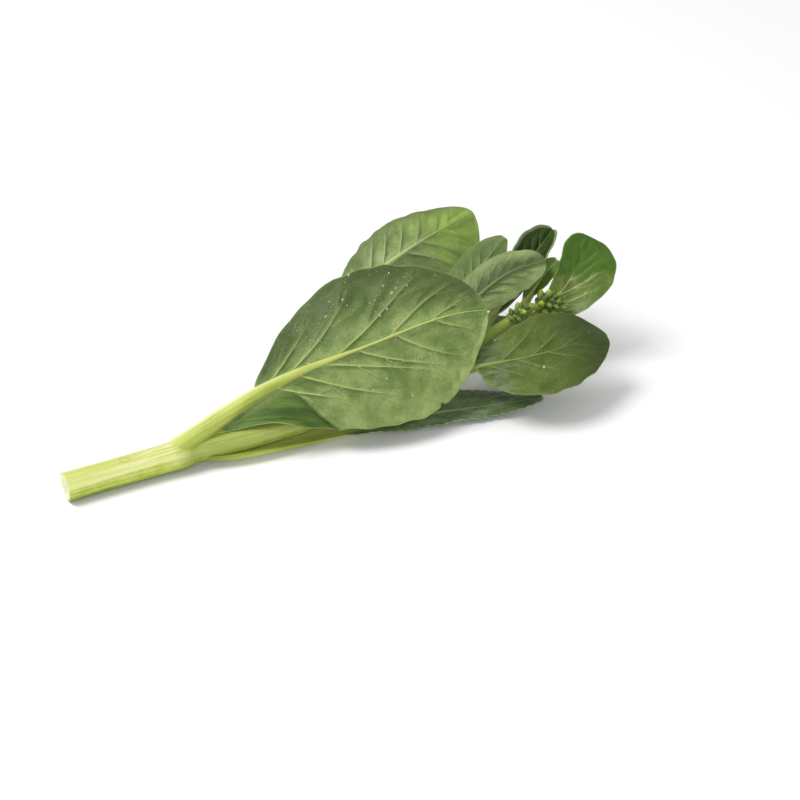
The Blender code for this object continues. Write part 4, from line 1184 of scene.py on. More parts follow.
# %% The tree of the stem
def stem_growth():
    """Bend a grid into the stem; its first rows form the cut end."""
    tree, given = new_growth("stem_growth", Rings=400, Sides=64, Cut_Share=0.035, Groove_Depth=0.035,
                             Pith_Depth=0.45, Length=float(stem_length))
    columns = add(tree, "ShaderNodeMath", given["Sides"], 1.0, operation="ADD")
    grid = add(tree, "GeometryNodeMeshGrid", {"Vertices X": given["Rings"], "Vertices Y": columns})
    place = add(tree, "ShaderNodeSeparateXYZ", add(tree, "GeometryNodeInputPosition")).node.outputs
    row = add(tree, "ShaderNodeMath", place["X"], 0.5, operation="ADD")
    column = add(tree, "ShaderNodeMath", place["Y"], 0.5, operation="ADD")
    turn = add(tree, "ShaderNodeMath", column, 2 * math.pi, operation="MULTIPLY")
    across = add(tree, "ShaderNodeMath", turn, operation="COSINE")
    high = add(tree, "ShaderNodeMath", turn, operation="SINE")
    # The radial share is 1 along the stem and falls to 0 in the middle of both ends.
    from_cut = add(tree, "ShaderNodeMath", row, given["Cut Share"], operation="DIVIDE", use_clamp=True)
    to_end = add(tree, "ShaderNodeMath", 1.0, row, operation="SUBTRACT")
    from_tip = add(tree, "ShaderNodeMath", to_end, TIP_SHARE, operation="DIVIDE", use_clamp=True)
    radial = add(tree, "ShaderNodeMath", from_cut, from_tip, operation="MINIMUM")
    share = add(tree, "ShaderNodeMapRange", row, given["Cut Share"], 1 - TIP_SHARE, 0.0, 1.0)
    sample, outward = around_thread(tree, given, share, across, high)
    drawn_out = add(tree, "ShaderNodeMath", share, 2.4, operation="MULTIPLY")
    around = add(tree, "ShaderNodeCombineXYZ", across, high, drawn_out)
    uneven = grooved(tree, given, around)
    radius = add(tree, "ShaderNodeMath", sample["Value"], uneven, operation="MULTIPLY")
    spread = add(tree, "ShaderNodeMath", radius, radial, operation="MULTIPLY")
    sunk = knife_face(tree, given, row, from_cut, around)
    from_middle = add(tree, "ShaderNodeVectorMath", {0: outward, 3: spread}, operation="SCALE")
    inward = add(tree, "ShaderNodeVectorMath", {0: sample["Tangent"], 3: sunk}, operation="SCALE")
    shift = add(tree, "ShaderNodeVectorMath", from_middle, inward, operation="ADD")
    point = add(tree, "ShaderNodeVectorMath", sample["Position"], shift, operation="ADD")
    # What the skin has to know is stored while the grid is still flat.
    along = add(tree, "ShaderNodeMath", share, given["Length"], operation="MULTIPLY")
    known = add(tree, "ShaderNodeCombineXYZ", across, high, along)
    body = add(tree, "GeometryNodeStoreNamedAttribute",
               {"Geometry": grid, "Name": "stem_place", "Value": known},
               data_type="FLOAT_VECTOR", domain="POINT")
    body = add(tree, "GeometryNodeStoreNamedAttribute",
               {"Geometry": body, "Name": "from_cut", "Value": from_cut}, data_type="FLOAT",
               domain="POINT")
    body = add(tree, "GeometryNodeSetPosition", {"Geometry": body, "Position": point})
    body = add(tree, "GeometryNodeMergeByDistance", {"Geometry": body, "Distance": MERGE_DISTANCE})
    body = add(tree, "GeometryNodeSetShadeSmooth", {"Geometry": body})
    end_growth(tree, given, body)
    return tree


# %% The greens of the stem
def stem_greens(tree, parts, fibres, bands, blotches):
    """Olive flanks painted darker as shade, a top painted paler as light, and pale stripes along it."""
    # painted light and shade: the stem is paler towards its top and darker low on its flanks
    up = add(tree, "ShaderNodeMapRange", parts["Y"], -0.85, 0.6, 0.0, 1.0)
    fibrous = add(tree, "ShaderNodeMapRange", fibres, 0.35, 0.65, -0.10, 0.10, **SMOOTH)
    tone = add(tree, "ShaderNodeMath", fibrous, up, operation="ADD")
    banded = add(tree, "ShaderNodeMapRange", bands, 0.36, 0.64, -0.16, 0.16, **SMOOTH)
    tone = add(tree, "ShaderNodeMath", tone, banded, operation="ADD")
    blotchy = add(tree, "ShaderNodeMapRange", blotches, 0.3, 0.7, -0.07, 0.07, **SMOOTH)
    tone = add(tree, "ShaderNodeMath", tone, blotchy, operation="ADD", use_clamp=True)
    flank_tone = add(tree, "ShaderNodeMapRange", tone, 0.12, 0.55, 0.0, 1.0)
    olive = add(tree, "ShaderNodeMix", {0: flank_tone, 6: linear("#728d1c"), 7: linear("#b4c344")},
                **COLOURS)
    very_top = add(tree, "ShaderNodeMapRange", parts["Y"], 0.5, 1.0, 0.0, 1.0)
    pale = add(tree, "ShaderNodeMix", {0: very_top, 6: linear("#e2e694"), 7: linear("#c3cb66")},
               **COLOURS)
    painted_top_light = add(tree, "ShaderNodeMapRange", tone, 0.45, 1.0, 0.0, 1.0, **SMOOTH)
    greens = add(tree, "ShaderNodeMix", {0: painted_top_light, 6: olive, 7: pale}, **COLOURS)
    # pale fibre stripes of the skin, shown only on the top, where they are also a painted highlight
    stripes = add(tree, "ShaderNodeMapRange", fibres, 0.46, 0.60, 0.0, 0.75, **SMOOTH)
    upper_side = add(tree, "ShaderNodeMapRange", up, 0.6, 0.95, 0.0, 1.0, **SMOOTH)
    stripes = add(tree, "ShaderNodeMath", stripes, upper_side, operation="MULTIPLY")
    off_cut = add(tree, "ShaderNodeMapRange", parts["Z"], 8.0, 40.0, 0.45, 1.0, **SMOOTH)
    stripes = add(tree, "ShaderNodeMath", stripes, off_cut, operation="MULTIPLY")
    greens = add(tree, "ShaderNodeMix", {0: stripes, 6: greens, 7: linear("#e9e9b8")}, **COLOURS)
    # Painted shade past the first joint, under the leaves; towards the tip a darker young green, partly
    # shade.
    uneven_place = add(tree, "ShaderNodeMath", blotches, 8.0, parts["Z"], operation="MULTIPLY_ADD")
    after_collar = add(tree, "ShaderNodeMapRange", uneven_place, 49.0, 60.0, 0.0, 1.0, **SMOOTH)
    after_collar = add(tree, "ShaderNodeMath", after_collar, 0.8, operation="MULTIPLY")
    shaded = add(tree, "ShaderNodeMix", {0: tone, 6: linear("#556e18"), 7: linear("#93a23a")},
                 **COLOURS)
    greens = add(tree, "ShaderNodeMix", {0: after_collar, 6: greens, 7: shaded}, **COLOURS)
    towards_tip = add(tree, "ShaderNodeMapRange", parts["Z"], 140.0, 205.0, 0.0, 0.75, **SMOOTH)
    young = add(tree, "ShaderNodeMix", {0: tone, 6: linear("#55701c"), 7: linear("#8ca33a")}, **COLOURS)
    return add(tree, "ShaderNodeMix", {0: towards_tip, 6: greens, 7: young}, **COLOURS)


# %% The cut face and the scar
SCAR_ALONG = 26.0         # mm from the cut end
SCAR_TURN = 0.1           # sine of its turn away from the top of the stem
SCAR_HALF_LENGTH = 1.9
SCAR_HALF_WIDTH = 0.24    # as a sine, like its turn


def cut_face(tree, radial, speckle):
    """Pale green rim, whitish woody ring and glassy pith."""
    glassy = add(tree, "ShaderNodeMapRange", speckle, 0.35, 0.65, 0.0, 1.0, **SMOOTH)
    pith = add(tree, "ShaderNodeMix", {0: glassy, 6: linear("#dfe4bd"), 7: linear("#cfd9a4")},
               **COLOURS)
    woody = add(tree, "ShaderNodeMapRange", speckle, 0.3, 0.7, 0.0, 1.0, **SMOOTH)
    wood = add(tree, "ShaderNodeMix", {0: woody, 6: linear("#eef0d6"), 7: linear("#d9e0b4")}, **COLOURS)
    in_ring = add(tree, "ShaderNodeMapRange", radial, 0.6, 0.72, 0.0, 1.0, **SMOOTH)
    face = add(tree, "ShaderNodeMix", {0: in_ring, 6: pith, 7: wood}, **COLOURS)
    at_rim = add(tree, "ShaderNodeMapRange", radial, 0.86, 0.95, 0.0, 1.0, **SMOOTH)
    return add(tree, "ShaderNodeMix", {0: at_rim, 6: face, 7: linear("#b9cb78")}, **COLOURS)


def scale_leaf_scar(tree, parts, speckle):
    """How clear the cork rim is of the small oval scar where a scale leaf was."""
    along = add(tree, "ShaderNodeMath", parts["Z"], SCAR_ALONG, operation="SUBTRACT")
    along = add(tree, "ShaderNodeMath", along, SCAR_HALF_LENGTH, operation="DIVIDE")
    aside = add(tree, "ShaderNodeMath", parts["X"], SCAR_TURN, operation="SUBTRACT")
    aside = add(tree, "ShaderNodeMath", aside, SCAR_HALF_WIDTH, operation="DIVIDE")
    along_squared = add(tree, "ShaderNodeMath", along, along, operation="MULTIPLY")
    aside_squared = add(tree, "ShaderNodeMath", aside, aside, operation="MULTIPLY")
    squares = add(tree, "ShaderNodeMath", along_squared, aside_squared, operation="ADD")
    outward = add(tree, "ShaderNodeMath", squares, operation="SQRT")
    uneven = add(tree, "ShaderNodeMapRange", speckle, 0.3, 0.7, -0.3, 0.3, **SMOOTH)
    outward = add(tree, "ShaderNodeMath", outward, uneven, operation="ADD")
    off_rim = add(tree, "ShaderNodeMath", outward, 1.0, operation="SUBTRACT")
    off_rim = add(tree, "ShaderNodeMath", off_rim, operation="ABSOLUTE")
    fading = add(tree, "ShaderNodeMapRange", off_rim, 0.02, 0.35, 0.0, 1.0, **SMOOTH)
    rim = add(tree, "ShaderNodeMath", 1.0, fading, operation="SUBTRACT")
    on_top = add(tree, "ShaderNodeMapRange", parts["Y"], 0.0, 0.3, 0.0, 0.45, **SMOOTH)
    return add(tree, "ShaderNodeMath", rim, on_top, operation="MULTIPLY")


# %% The skin of the stem
def stem_skin():
    """Pale waxy skin with lengthwise fibres; the cut face is wet and almost white."""
    material, tree, shader = new_material("choy_sum_stem_skin", Subsurface_Weight=0.2, IOR=1.4,
                                          Subsurface_Scale=0.0016, Subsurface_Radius=(0.7, 1.0, 0.25))
    place = add(tree, "ShaderNodeAttribute", attribute_name="stem_place", out="Vector")
    parts = add(tree, "ShaderNodeSeparateXYZ", place).node.outputs
    # Fibres are hundreds of times longer than they are wide, blotches only a few times.
    drawn_out = add(tree, "ShaderNodeMath", parts["Z"], 0.0035, operation="MULTIPLY")
    fibre_place = add(tree, "ShaderNodeCombineXYZ", parts["X"], parts["Y"], drawn_out)
    fibres = add(tree, "ShaderNodeTexNoise",
                 {"Vector": fibre_place, "Scale": 9.0, "Detail": 4.0, "Roughness": 0.6})
    bands = add(tree, "ShaderNodeTexNoise", {"Vector": fibre_place, "Scale": 2.6, "Detail": 2.0})
    little_longer = add(tree, "ShaderNodeMath", parts["Z"], 0.14, operation="MULTIPLY")
    blotch_place = add(tree, "ShaderNodeCombineXYZ", parts["X"], parts["Y"], little_longer)
    blotches = add(tree, "ShaderNodeTexNoise", {"Vector": blotch_place, "Scale": 1.7, "Detail": 4.0})
    greens = stem_greens(tree, parts, fibres, bands, blotches)
    radial = add(tree, "ShaderNodeAttribute", attribute_name="from_cut", out="Fac")
    speckle = add(tree, "ShaderNodeTexNoise", {"Vector": place, "Scale": 5.0, "Detail": 4.0})
    on_bark = add(tree, "ShaderNodeMapRange", radial, 0.985, 0.999, 0.0, 1.0, **SMOOTH)
    face = cut_face(tree, radial, speckle)
    colour = add(tree, "ShaderNodeMix", {0: on_bark, 6: face, 7: greens}, **COLOURS)
    scar = scale_leaf_scar(tree, parts, speckle)
    colour = add(tree, "ShaderNodeMix", {0: scar, 6: colour, 7: linear("#c3a850")}, **COLOURS)
    tree.links.new(colour, shader.inputs["Base Color"])
    rough = add(tree, "ShaderNodeMapRange", fibres, 0.3, 0.7, 0.30, 0.44)
    tree.links.new(rough, shader.inputs["Roughness"])
    scar_height = add(tree, "ShaderNodeMath", scar, 0.5, operation="MULTIPLY")
    relief = add(tree, "ShaderNodeMath", fibres, scar_height, operation="ADD")
    bump = add(tree, "ShaderNodeBump", {"Height": relief, "Distance": 0.0003, "Strength": 1.0})
    tree.links.new(bump, shader.inputs["Normal"])
    return material


# %% Grow the stem
fresh_stem = grow("fresh_main_stem", stem_thread, stem_growth(), stem_skin())
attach(fresh_stem, "root")
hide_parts("main_stem")

# %% [markdown]
# ## The heads of flower buds
#
# Choy sum is sold just before it flowers, so each tip carries a head of closed buds. The buds stand
# around the head at the golden angle, each a third of a turn and a bit after the one before, and the
# youngest sit in the middle. A spiral is a rule, so Geometry Nodes place the buds: a set of points
# takes its places from the spiral, and every point gets a bud on its own thin stalk, turned outward.

# %% Measures of the heads
# name: share of the stem where it grows, direction, length, half width, number of buds
HEADS = {
    "bud_cluster": (1.0, (0.90, -0.36, 0.14), 16.0, 4.8, 32),
    "front_bud_cluster": (0.92, (0.78, -0.16, 0.60), 15.0, 3.3, 17),
}
GOLDEN_ANGLE = math.radians(137.5)
LOWEST_LEAN = math.radians(84)      # how far the lowest buds lean out from the head's axis
HEAD_SUNK = 2.0           # mm that the last head starts inside the stem's tip
FOOT_FLARE = 0.9          # mm that its foot is wider, to meet the stem
STALK_PART = 0.88         # the head's own stalk, as a share of the head's length
DOME_PART = 0.9           # height of the round end above the last bud's foot, in half widths
STALK_LEVEL = -1.6        # a bud's own height runs from -1 to 1; all stalks count as lower
# A bud's own thin stalk, in metres, and how far its foot lies below the middle of the bud.
BUD_STALK = {"Vertices": 8, "Radius Top": 0.00042, "Radius Bottom": 0.00034, "Depth": 0.0036}
BUD_STALK_FOOT = -0.0056


# %% One bud on its stalk
def shaped_bud(tree, given):
    """One closed bud with four sepals that meet in a blunt tip, on its stalk."""
    ball = add(tree, "GeometryNodeMeshUVSphere", {"Segments": 16, "Rings": 10, "Radius": 1.0})
    place = add(tree, "ShaderNodeSeparateXYZ", add(tree, "GeometryNodeInputPosition")).node.outputs
    turn = add(tree, "ShaderNodeMath", place["Y"], place["X"], operation="ARCTAN2")
    double_turn = add(tree, "ShaderNodeMath", turn, 2.0, operation="MULTIPLY")
    seam = add(tree, "ShaderNodeMath", double_turn, operation="SINE")
    seam = add(tree, "ShaderNodeMath", seam, operation="ABSOLUTE")
    dip = add(tree, "ShaderNodeMapRange", seam, 0.0, 0.6, 0.84, 1.0, **SMOOTH)
    taper = read_ramp(tree, place["Z"], (-1.0, 0.86), (-0.3, 1.0), (0.4, 0.93), (1.0, 0.62))
    slim = add(tree, "ShaderNodeMath", dip, taper, operation="MULTIPLY")
    width = add(tree, "ShaderNodeMath", slim, given["Bud Half Width"], operation="MULTIPLY")
    forth = add(tree, "ShaderNodeMath", place["X"], width, operation="MULTIPLY")
    aside = add(tree, "ShaderNodeMath", place["Y"], width, operation="MULTIPLY")
    upward = add(tree, "ShaderNodeMath", place["Z"], given["Bud Half Length"], operation="MULTIPLY")
    point = add(tree, "ShaderNodeCombineXYZ", forth, aside, upward)
    bud = add(tree, "GeometryNodeStoreNamedAttribute",
              {"Geometry": ball, "Name": "bud_height", "Value": place["Z"]}, data_type="FLOAT",
              domain="POINT")
    bud = add(tree, "GeometryNodeSetPosition", {"Geometry": bud, "Position": point})
    stalk = add(tree, "GeometryNodeMeshCone", BUD_STALK)
    stalk = add(tree, "GeometryNodeStoreNamedAttribute",
                {"Geometry": stalk, "Name": "bud_height", "Value": STALK_LEVEL}, data_type="FLOAT",
                domain="POINT")
    stalk = add(tree, "GeometryNodeTransform",
                {"Geometry": stalk, "Translation": (0, 0, BUD_STALK_FOOT)})
    both = tree.nodes.new("GeometryNodeJoinGeometry")
    tree.links.new(stalk, both.inputs[0])
    tree.links.new(bud, both.inputs[0])
    return both.outputs[0]


# %% The spiral of buds
def spiral_of_buds(tree, given):
    """The buds on a golden-angle spiral: the lowest look aside, the last one straight on."""
    points = add(tree, "GeometryNodePoints", {"Count": given["Buds"]})
    index = add(tree, "GeometryNodeInputIndex")
    middle = add(tree, "ShaderNodeMath", index, 0.5, operation="ADD")
    share = add(tree, "ShaderNodeMath", middle, given["Buds"], operation="DIVIDE")
    to_go = add(tree, "ShaderNodeMath", 1.0, share, operation="SUBTRACT")
    lean = add(tree, "ShaderNodeMath", to_go, operation="SQRT")
    lean = add(tree, "ShaderNodeMath", lean, LOWEST_LEAN, operation="MULTIPLY")
    turn = add(tree, "ShaderNodeMath", index, GOLDEN_ANGLE, operation="MULTIPLY")
    flat = add(tree, "ShaderNodeMath", lean, operation="SINE")
    forth = add(tree, "ShaderNodeMath", turn, operation="COSINE")
    aside = add(tree, "ShaderNodeMath", turn, operation="SINE")
    forth = add(tree, "ShaderNodeMath", flat, forth, operation="MULTIPLY")
    aside = add(tree, "ShaderNodeMath", flat, aside, operation="MULTIPLY")
    upward = add(tree, "ShaderNodeMath", lean, operation="COSINE")
    outward = add(tree, "ShaderNodeCombineXYZ", forth, aside, upward)
    uneven = add(tree, "FunctionNodeRandomValue", {2: 0.74, 3: 1.02, "Seed": given["Seed"]}, out=1)
    reach = add(tree, "ShaderNodeMath", given["Head Half Width"], uneven, operation="MULTIPLY")
    place = add(tree, "ShaderNodeVectorMath", {0: outward, 3: reach}, operation="SCALE")
    lowered = add(tree, "ShaderNodeMath", to_go, 1.5, operation="POWER")
    level = add(tree, "ShaderNodeMath", lowered, -0.62, 1.0, operation="MULTIPLY_ADD")
    height = add(tree, "ShaderNodeMath", given["Head Height"], level, operation="MULTIPLY")
    raised = add(tree, "ShaderNodeCombineXYZ", {2: height})
    place = add(tree, "ShaderNodeVectorMath", place, raised, operation="ADD")
    points = add(tree, "GeometryNodeSetPosition", {"Geometry": points, "Position": place})
    size = add(tree, "FunctionNodeRandomValue", {2: 0.82, 3: 1.12, "Seed": given["Seed"]}, out=1)
    older = add(tree, "ShaderNodeMapRange", lean, 0.0, 1.3, 0.62, 1.05)
    size = add(tree, "ShaderNodeMath", size, older, operation="MULTIPLY")
    turned = add(tree, "FunctionNodeAlignRotationToVector", {"Vector": outward}, axis="Z")
    bud = shaped_bud(tree, given)
    buds = add(tree, "GeometryNodeInstanceOnPoints",
               {"Points": points, "Instance": bud, "Rotation": turned, "Scale": size})
    ripe = add(tree, "FunctionNodeRandomValue", {2: 0.0, 3: 1.0, "Seed": given["Seed"]}, out=1)
    return add(tree, "GeometryNodeStoreNamedAttribute",
               {"Geometry": buds, "Name": "bud_tone", "Value": ripe},
               data_type="FLOAT", domain="INSTANCE")


# %% The tree of a head
def head_stalk(tree, given):
    """The head's own stalk, which gets thicker where the buds sit on it."""
    rod = add(tree, "GeometryNodeMeshCylinder",
              {"Vertices": 20, "Side Segments": 16, "Radius": 1.0, "Depth": given["Stalk Length"]})
    half = add(tree, "ShaderNodeMath", given["Stalk Length"], 0.5, operation="MULTIPLY")
    up = add(tree, "ShaderNodeCombineXYZ", {2: half})
    rod = add(tree, "GeometryNodeTransform", {"Geometry": rod, "Translation": up})
    own = add(tree, "ShaderNodeSeparateXYZ", add(tree, "GeometryNodeInputPosition")).node.outputs
    high = add(tree, "ShaderNodeMath", own["Z"], given["Stalk Length"], operation="DIVIDE")
    thick = read_ramp(tree, high, (0.0, 0.0013), (0.3, 0.0012), (0.6, 0.0014), (0.85, 0.0021),
                      (1.0, 0.0012))
    in_foot = add(tree, "ShaderNodeMapRange", high, 0.0, 0.35, 1.0, 0.0, **SMOOTH)
    flare = add(tree, "ShaderNodeMath", given["Foot Flare"], in_foot, operation="MULTIPLY")
    thick = add(tree, "ShaderNodeMath", thick, flare, operation="ADD")
    forth = add(tree, "ShaderNodeMath", own["X"], thick, operation="MULTIPLY")
    aside = add(tree, "ShaderNodeMath", own["Y"], thick, operation="MULTIPLY")
    point = add(tree, "ShaderNodeCombineXYZ", forth, aside, own["Z"])
    rod = add(tree, "GeometryNodeSetPosition", {"Geometry": rod, "Position": point})
    return add(tree, "GeometryNodeStoreNamedAttribute",
               {"Geometry": rod, "Name": "bud_height", "Value": STALK_LEVEL}, data_type="FLOAT",
               domain="POINT")


def head_growth():
    """A whole head with its axis upright: its stalk, and the buds that wind up to its end."""
    tree, given = new_growth("head_growth", Buds=20, Stalk_Length=0.014, Head_Height=0.011,
                             Head_Half_Width=0.004, Bud_Half_Length=0.0023, Bud_Half_Width=0.0015,
                             Foot_Flare=0.0, Seed=4)
    whole = tree.nodes.new("GeometryNodeJoinGeometry")
    tree.links.new(head_stalk(tree, given), whole.inputs[0])
    tree.links.new(spiral_of_buds(tree, given), whole.inputs[0])
    smooth = add(tree, "GeometryNodeSetShadeSmooth", {"Geometry": whole.outputs[0]})
    end_growth(tree, given, smooth)
    return tree


# %% The skin of the buds
def bud_skin():
    """Waxy green sepals with a paler base; some buds already show the yellow of their petals."""
    material, tree, shader = new_material("closed_flower_bud_sepals", Subsurface_Weight=0.15, IOR=1.42,
                                          Subsurface_Scale=0.0008, Subsurface_Radius=(0.6, 1.0, 0.15))
    place = add(tree, "ShaderNodeTexCoord", out="Object")
    grain = add(tree, "ShaderNodeTexNoise", {"Vector": place, "Scale": 900.0, "Detail": 3.0})
    height = add(tree, "ShaderNodeAttribute", attribute_name="bud_height", out="Fac")
    tone = add(tree, "ShaderNodeAttribute", attribute_name="bud_tone", out="Fac")
    green = add(tree, "ShaderNodeMix", {0: tone, 6: linear("#3f581b"), 7: linear("#708738")}, **COLOURS)
    waxy = add(tree, "ShaderNodeMapRange", grain, 0.3, 0.7, 0.0, 0.35, **SMOOTH)
    green = add(tree, "ShaderNodeMix", {0: waxy, 6: green, 7: linear("#97a95c")}, **COLOURS)
    ripe = add(tree, "ShaderNodeMapRange", tone, 0.62, 0.80, 0.0, 0.85, **SMOOTH)
    bud_tip = add(tree, "ShaderNodeMapRange", height, 0.1, 0.8, 0.0, 1.0, **SMOOTH)
    yellow = add(tree, "ShaderNodeMath", ripe, bud_tip, operation="MULTIPLY")
    colour = add(tree, "ShaderNodeMix", {0: yellow, 6: green, 7: linear("#a3b22e")}, **COLOURS)
    bud_base = add(tree, "ShaderNodeMapRange", height, -1.2, -0.5, 1.0, 0.0, **SMOOTH)
    colour = add(tree, "ShaderNodeMix", {0: bud_base, 6: colour, 7: linear("#8c9f46")}, **COLOURS)
    tree.links.new(colour, shader.inputs["Base Color"])
    rough = add(tree, "ShaderNodeMapRange", grain, 0.3, 0.7, 0.38, 0.52)
    tree.links.new(rough, shader.inputs["Roughness"])
    bump = add(tree, "ShaderNodeBump", {"Height": grain, "Distance": 0.00015, "Strength": 1.0})
    tree.links.new(bump, shader.inputs["Normal"])
    return material


# %% Make the two heads
sepals, spiral = bud_skin(), head_growth()
for name, (share, direction, head_length, half_width, buds) in HEADS.items():
    direction = Vector(direction).normalized()
    foot = Vector((at_share(stem_line, share) - MIDDLE_OF_SHOOT) * MM)
    ends_stem = share == 1.0
    if ends_stem:
        foot -= direction * HEAD_SUNK * MM
    head = grow("fresh_" + name, bpy.data.meshes.new("empty_seed"), spiral, sepals, Buds=buds,
                Stalk_Length=head_length * STALK_PART * MM, Head_Half_Width=half_width * MM,
                Head_Height=(head_length - half_width * DOME_PART) * MM,
                Foot_Flare=FOOT_FLARE * MM * ends_stem, Seed=buds)
    turned = direction.to_track_quat("Z", "Y").to_matrix().to_4x4()
    head.data.transform(Matrix.Translation(foot) @ turned)
    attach(head, "root")
    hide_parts(name)

# %% [markdown]
# ## Drops of water
#
# The greens were rinsed, so small drops stand on the waxy leaves. Their places are random but never
# too close to each other, which is what the Poisson method of Distribute Points on Faces gives. A
# factor keeps them off the steep parts, where water runs down. Each drop is a flattened ball of a few
# dozen faces, and only its upper half stands out of the skin.


# %% The tree of the drops
def drop_growth():
    """Low domes of water at random places on the upper parts of a leaf."""
    tree, given = new_growth("drop_growth", Spacing=0.004, Largest=0.00080, Smallest=0.00020,
                             Amount=150000.0, Seed=3)
    normal = add(tree, "GeometryNodeInputNormal")
    level = add(tree, "ShaderNodeSeparateXYZ", normal, out=2)
    share = add(tree, "GeometryNodeInputNamedAttribute", {"Name": "share"})
    rib = add(tree, "GeometryNodeInputNamedAttribute", {"Name": "rib"})
    rib = add(tree, "ShaderNodeMath", rib, operation="ABSOLUTE")
    looks_up = add(tree, "ShaderNodeMapRange", level, 0.45, 0.7, 0.0, 1.0, **SMOOTH)
    off_stalk = add(tree, "ShaderNodeMapRange", share, 0.3, 0.45, 0.0, 1.0, **SMOOTH)
    wanted = add(tree, "ShaderNodeMath", looks_up, off_stalk, operation="MULTIPLY")
    off_rib = add(tree, "ShaderNodeMapRange", rib, 1.0, 1.4, 0.0, 1.0, **SMOOTH)
    wanted = add(tree, "ShaderNodeMath", wanted, off_rib, operation="MULTIPLY")
    showers = add(tree, "ShaderNodeTexNoise", {"Scale": 48.0, "Detail": 2.0})
    sprinkled = add(tree, "ShaderNodeMapRange", showers, 0.43, 0.58, 0.08, 1.0, **SMOOTH)
    wanted = add(tree, "ShaderNodeMath", wanted, sprinkled, operation="MULTIPLY")
    across = add(tree, "GeometryNodeInputNamedAttribute", {"Name": "across"})
    far_side = add(tree, "ShaderNodeMapRange", across, -4.0, 8.0, 0.4, 1.0, **SMOOTH)
    wanted = add(tree, "ShaderNodeMath", wanted, far_side, operation="MULTIPLY")
    spots = add(tree, "GeometryNodeDistributePointsOnFaces",
                {"Mesh": given["Geometry"], "Distance Min": given["Spacing"],
                 "Density Max": given["Amount"], "Density Factor": wanted, "Seed": given["Seed"]},
                distribute_method="POISSON").node.outputs
    ball = add(tree, "GeometryNodeMeshUVSphere", {"Segments": 8, "Rings": 5, "Radius": 1.0})
    chance = add(tree, "FunctionNodeRandomValue", {2: 0.0, 3: 1.0, "Seed": given["Seed"]}, out=1)
    grown = add(tree, "ShaderNodeMath", chance, 5.0, operation="POWER")
    size = add(tree, "ShaderNodeMix", {0: grown, 2: given["Smallest"], 3: given["Largest"]}, out=0)
    longer = add(tree, "FunctionNodeRandomValue", {2: 0.75, 3: 1.5, "Seed": 17}, out=1)
    length = add(tree, "ShaderNodeMath", size, longer, operation="MULTIPLY")
    height = add(tree, "ShaderNodeMath", size, 0.5, operation="MULTIPLY")
    low = add(tree, "ShaderNodeCombineXYZ", size, length, height)
    drops = add(tree, "GeometryNodeInstanceOnPoints",
                {"Points": spots["Points"], "Instance": ball, "Rotation": spots["Rotation"],
                 "Scale": low})
    drops = add(tree, "GeometryNodeRealizeInstances", {"Geometry": drops})
    smooth = add(tree, "GeometryNodeSetShadeSmooth", {"Geometry": drops})
    end_growth(tree, given, smooth)
    return tree


# %% Put drops on the leaves that lie open
# Water, a thin clear dome, bends light a little and mirrors the room; its pale colour is painted glint.
water, tree, shader = new_material("rinsing_water", Roughness=0.06, IOR=1.333, Transmission_Weight=0.6)
shader.inputs["Base Color"].default_value = linear("#e6edd2")
rain = drop_growth()
# leaf: the distance in mm that its drops keep from each other
DROP_SPACING = {"largest_leaf": 1.2, "front_oval_leaf": 2.4, "pale_top_leaf": 2.8, "far_leaf": 3.0}
for number, (name, spacing) in enumerate(DROP_SPACING.items()):
    drops = grow("drops_on_" + name, fresh_leaves[name].data.copy(), rain, water,
                 Spacing=spacing * MM, Seed=number)
    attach(drops, "root")
    print("faces of the drops on the", name, len(drops.data.polygons))

# %% [markdown]
# ## Table, light and camera
#
# The shoot lies on a plain white table in a bright room. A large soft lamp above and behind the left
# shoulder makes the gentle shading, and the white surroundings fill the shadows. The camera looks
# down on the shoot from in front of its cut end.

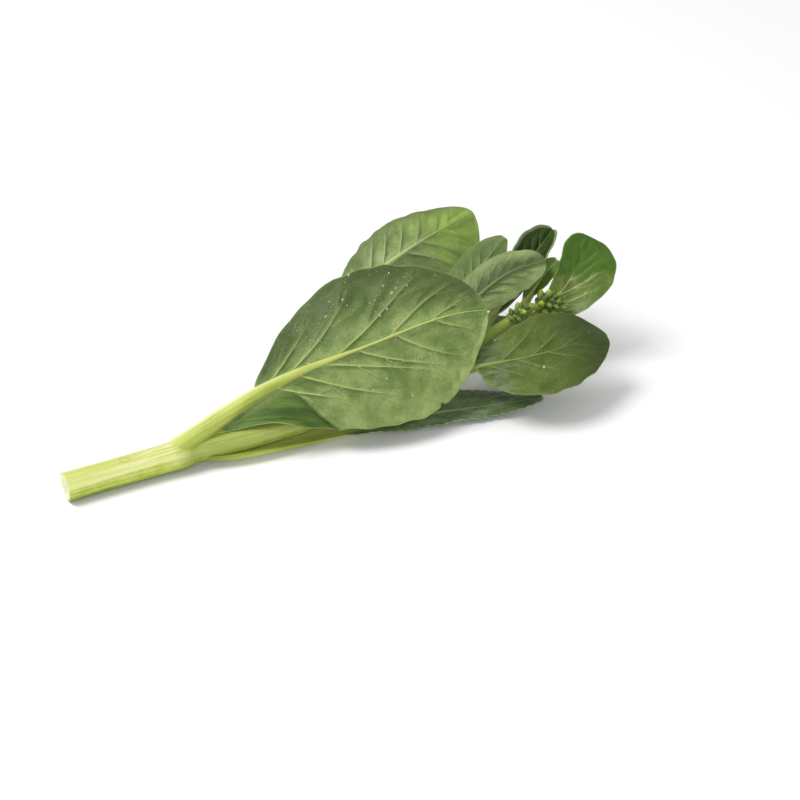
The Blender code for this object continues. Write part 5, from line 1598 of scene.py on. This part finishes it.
# %% The table
table_mesh = bpy.data.meshes.new("white_table")
cage = bmesh.new()
bmesh.ops.create_grid(cage, x_segments=1, y_segments=1, size=3.0)
cage.to_mesh(table_mesh)
cage.free()
table = bpy.data.objects.new("white_table", table_mesh)
bpy.context.scene.collection.objects.link(table)
table_paint, tree, shader = new_material("matt_white_laminate", Roughness=0.6)
shader.inputs["Base Color"].default_value = linear("#fbfbfb")
table_mesh.materials.append(table_paint)
table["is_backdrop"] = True


# %% Lamps and surroundings
def soft_lamp(name, place, aim, size, power):
    """A round soft lamp that looks at its aim; its size is in metres and its power in watts."""
    lamp = bpy.data.lights.new(name, "AREA")
    lamp.shape, lamp.size, lamp.energy = "DISK", size, power
    item = bpy.data.objects.new(name, lamp)
    item.location = place
    item.rotation_euler = (Vector(place) - Vector(aim)).to_track_quat("Z", "Y").to_euler()
    bpy.context.scene.collection.objects.link(item)
    return item


centre = (cad_low + cad_high) / 2
soft_lamp("window_lamp", (-0.75, 0.35, 1.35), centre, 0.9, 18.5)
soft_lamp("front_lamp", (-0.35, -1.2, 0.8), centre, 0.8, 3.0)
room = bpy.data.worlds.new("bright_room")
bpy.context.scene.world = room
room.use_nodes = True
room.node_tree.nodes["Background"].inputs["Color"].default_value = linear("#ffffff")
room.node_tree.nodes["Background"].inputs["Strength"].default_value = 0.58
bpy.context.scene.view_settings.view_transform = "Standard"

# %% The camera
VIEW_TURN = math.radians(-29)
VIEW_HEIGHT = math.radians(35)
VIEW_DISTANCE = 0.84
VIEW_AIM = Vector((0.0261, -0.0171, -0.0023))
camera_data = bpy.data.cameras.new("camera")
camera_data.lens = 85
camera = bpy.data.objects.new("camera", camera_data)
bpy.context.scene.collection.objects.link(camera)
bpy.context.scene.camera = camera
level = math.cos(VIEW_HEIGHT)
back = Vector((math.sin(VIEW_TURN) * level, -math.cos(VIEW_TURN) * level, math.sin(VIEW_HEIGHT)))
camera.location = VIEW_AIM + back * VIEW_DISTANCE
camera.rotation_euler = back.to_track_quat("Z", "Y").to_euler()
print("the camera stands", round(VIEW_DISTANCE, 2), "m from its aim")

# %% [markdown]
# ## Sizes and the end
#
# The finished shoot should keep the size of the solids. The solids' box is printed at the start,
# and the last cell prints how far the finished box reaches beyond it on each side.

# %% Write the sizes and finish
fresh_low, fresh_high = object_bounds()
beyond = (*(cad_low - fresh_low), *(fresh_high - cad_high))
print("grown beyond the solids in mm:", [round(c / MM, 2) for c in beyond])
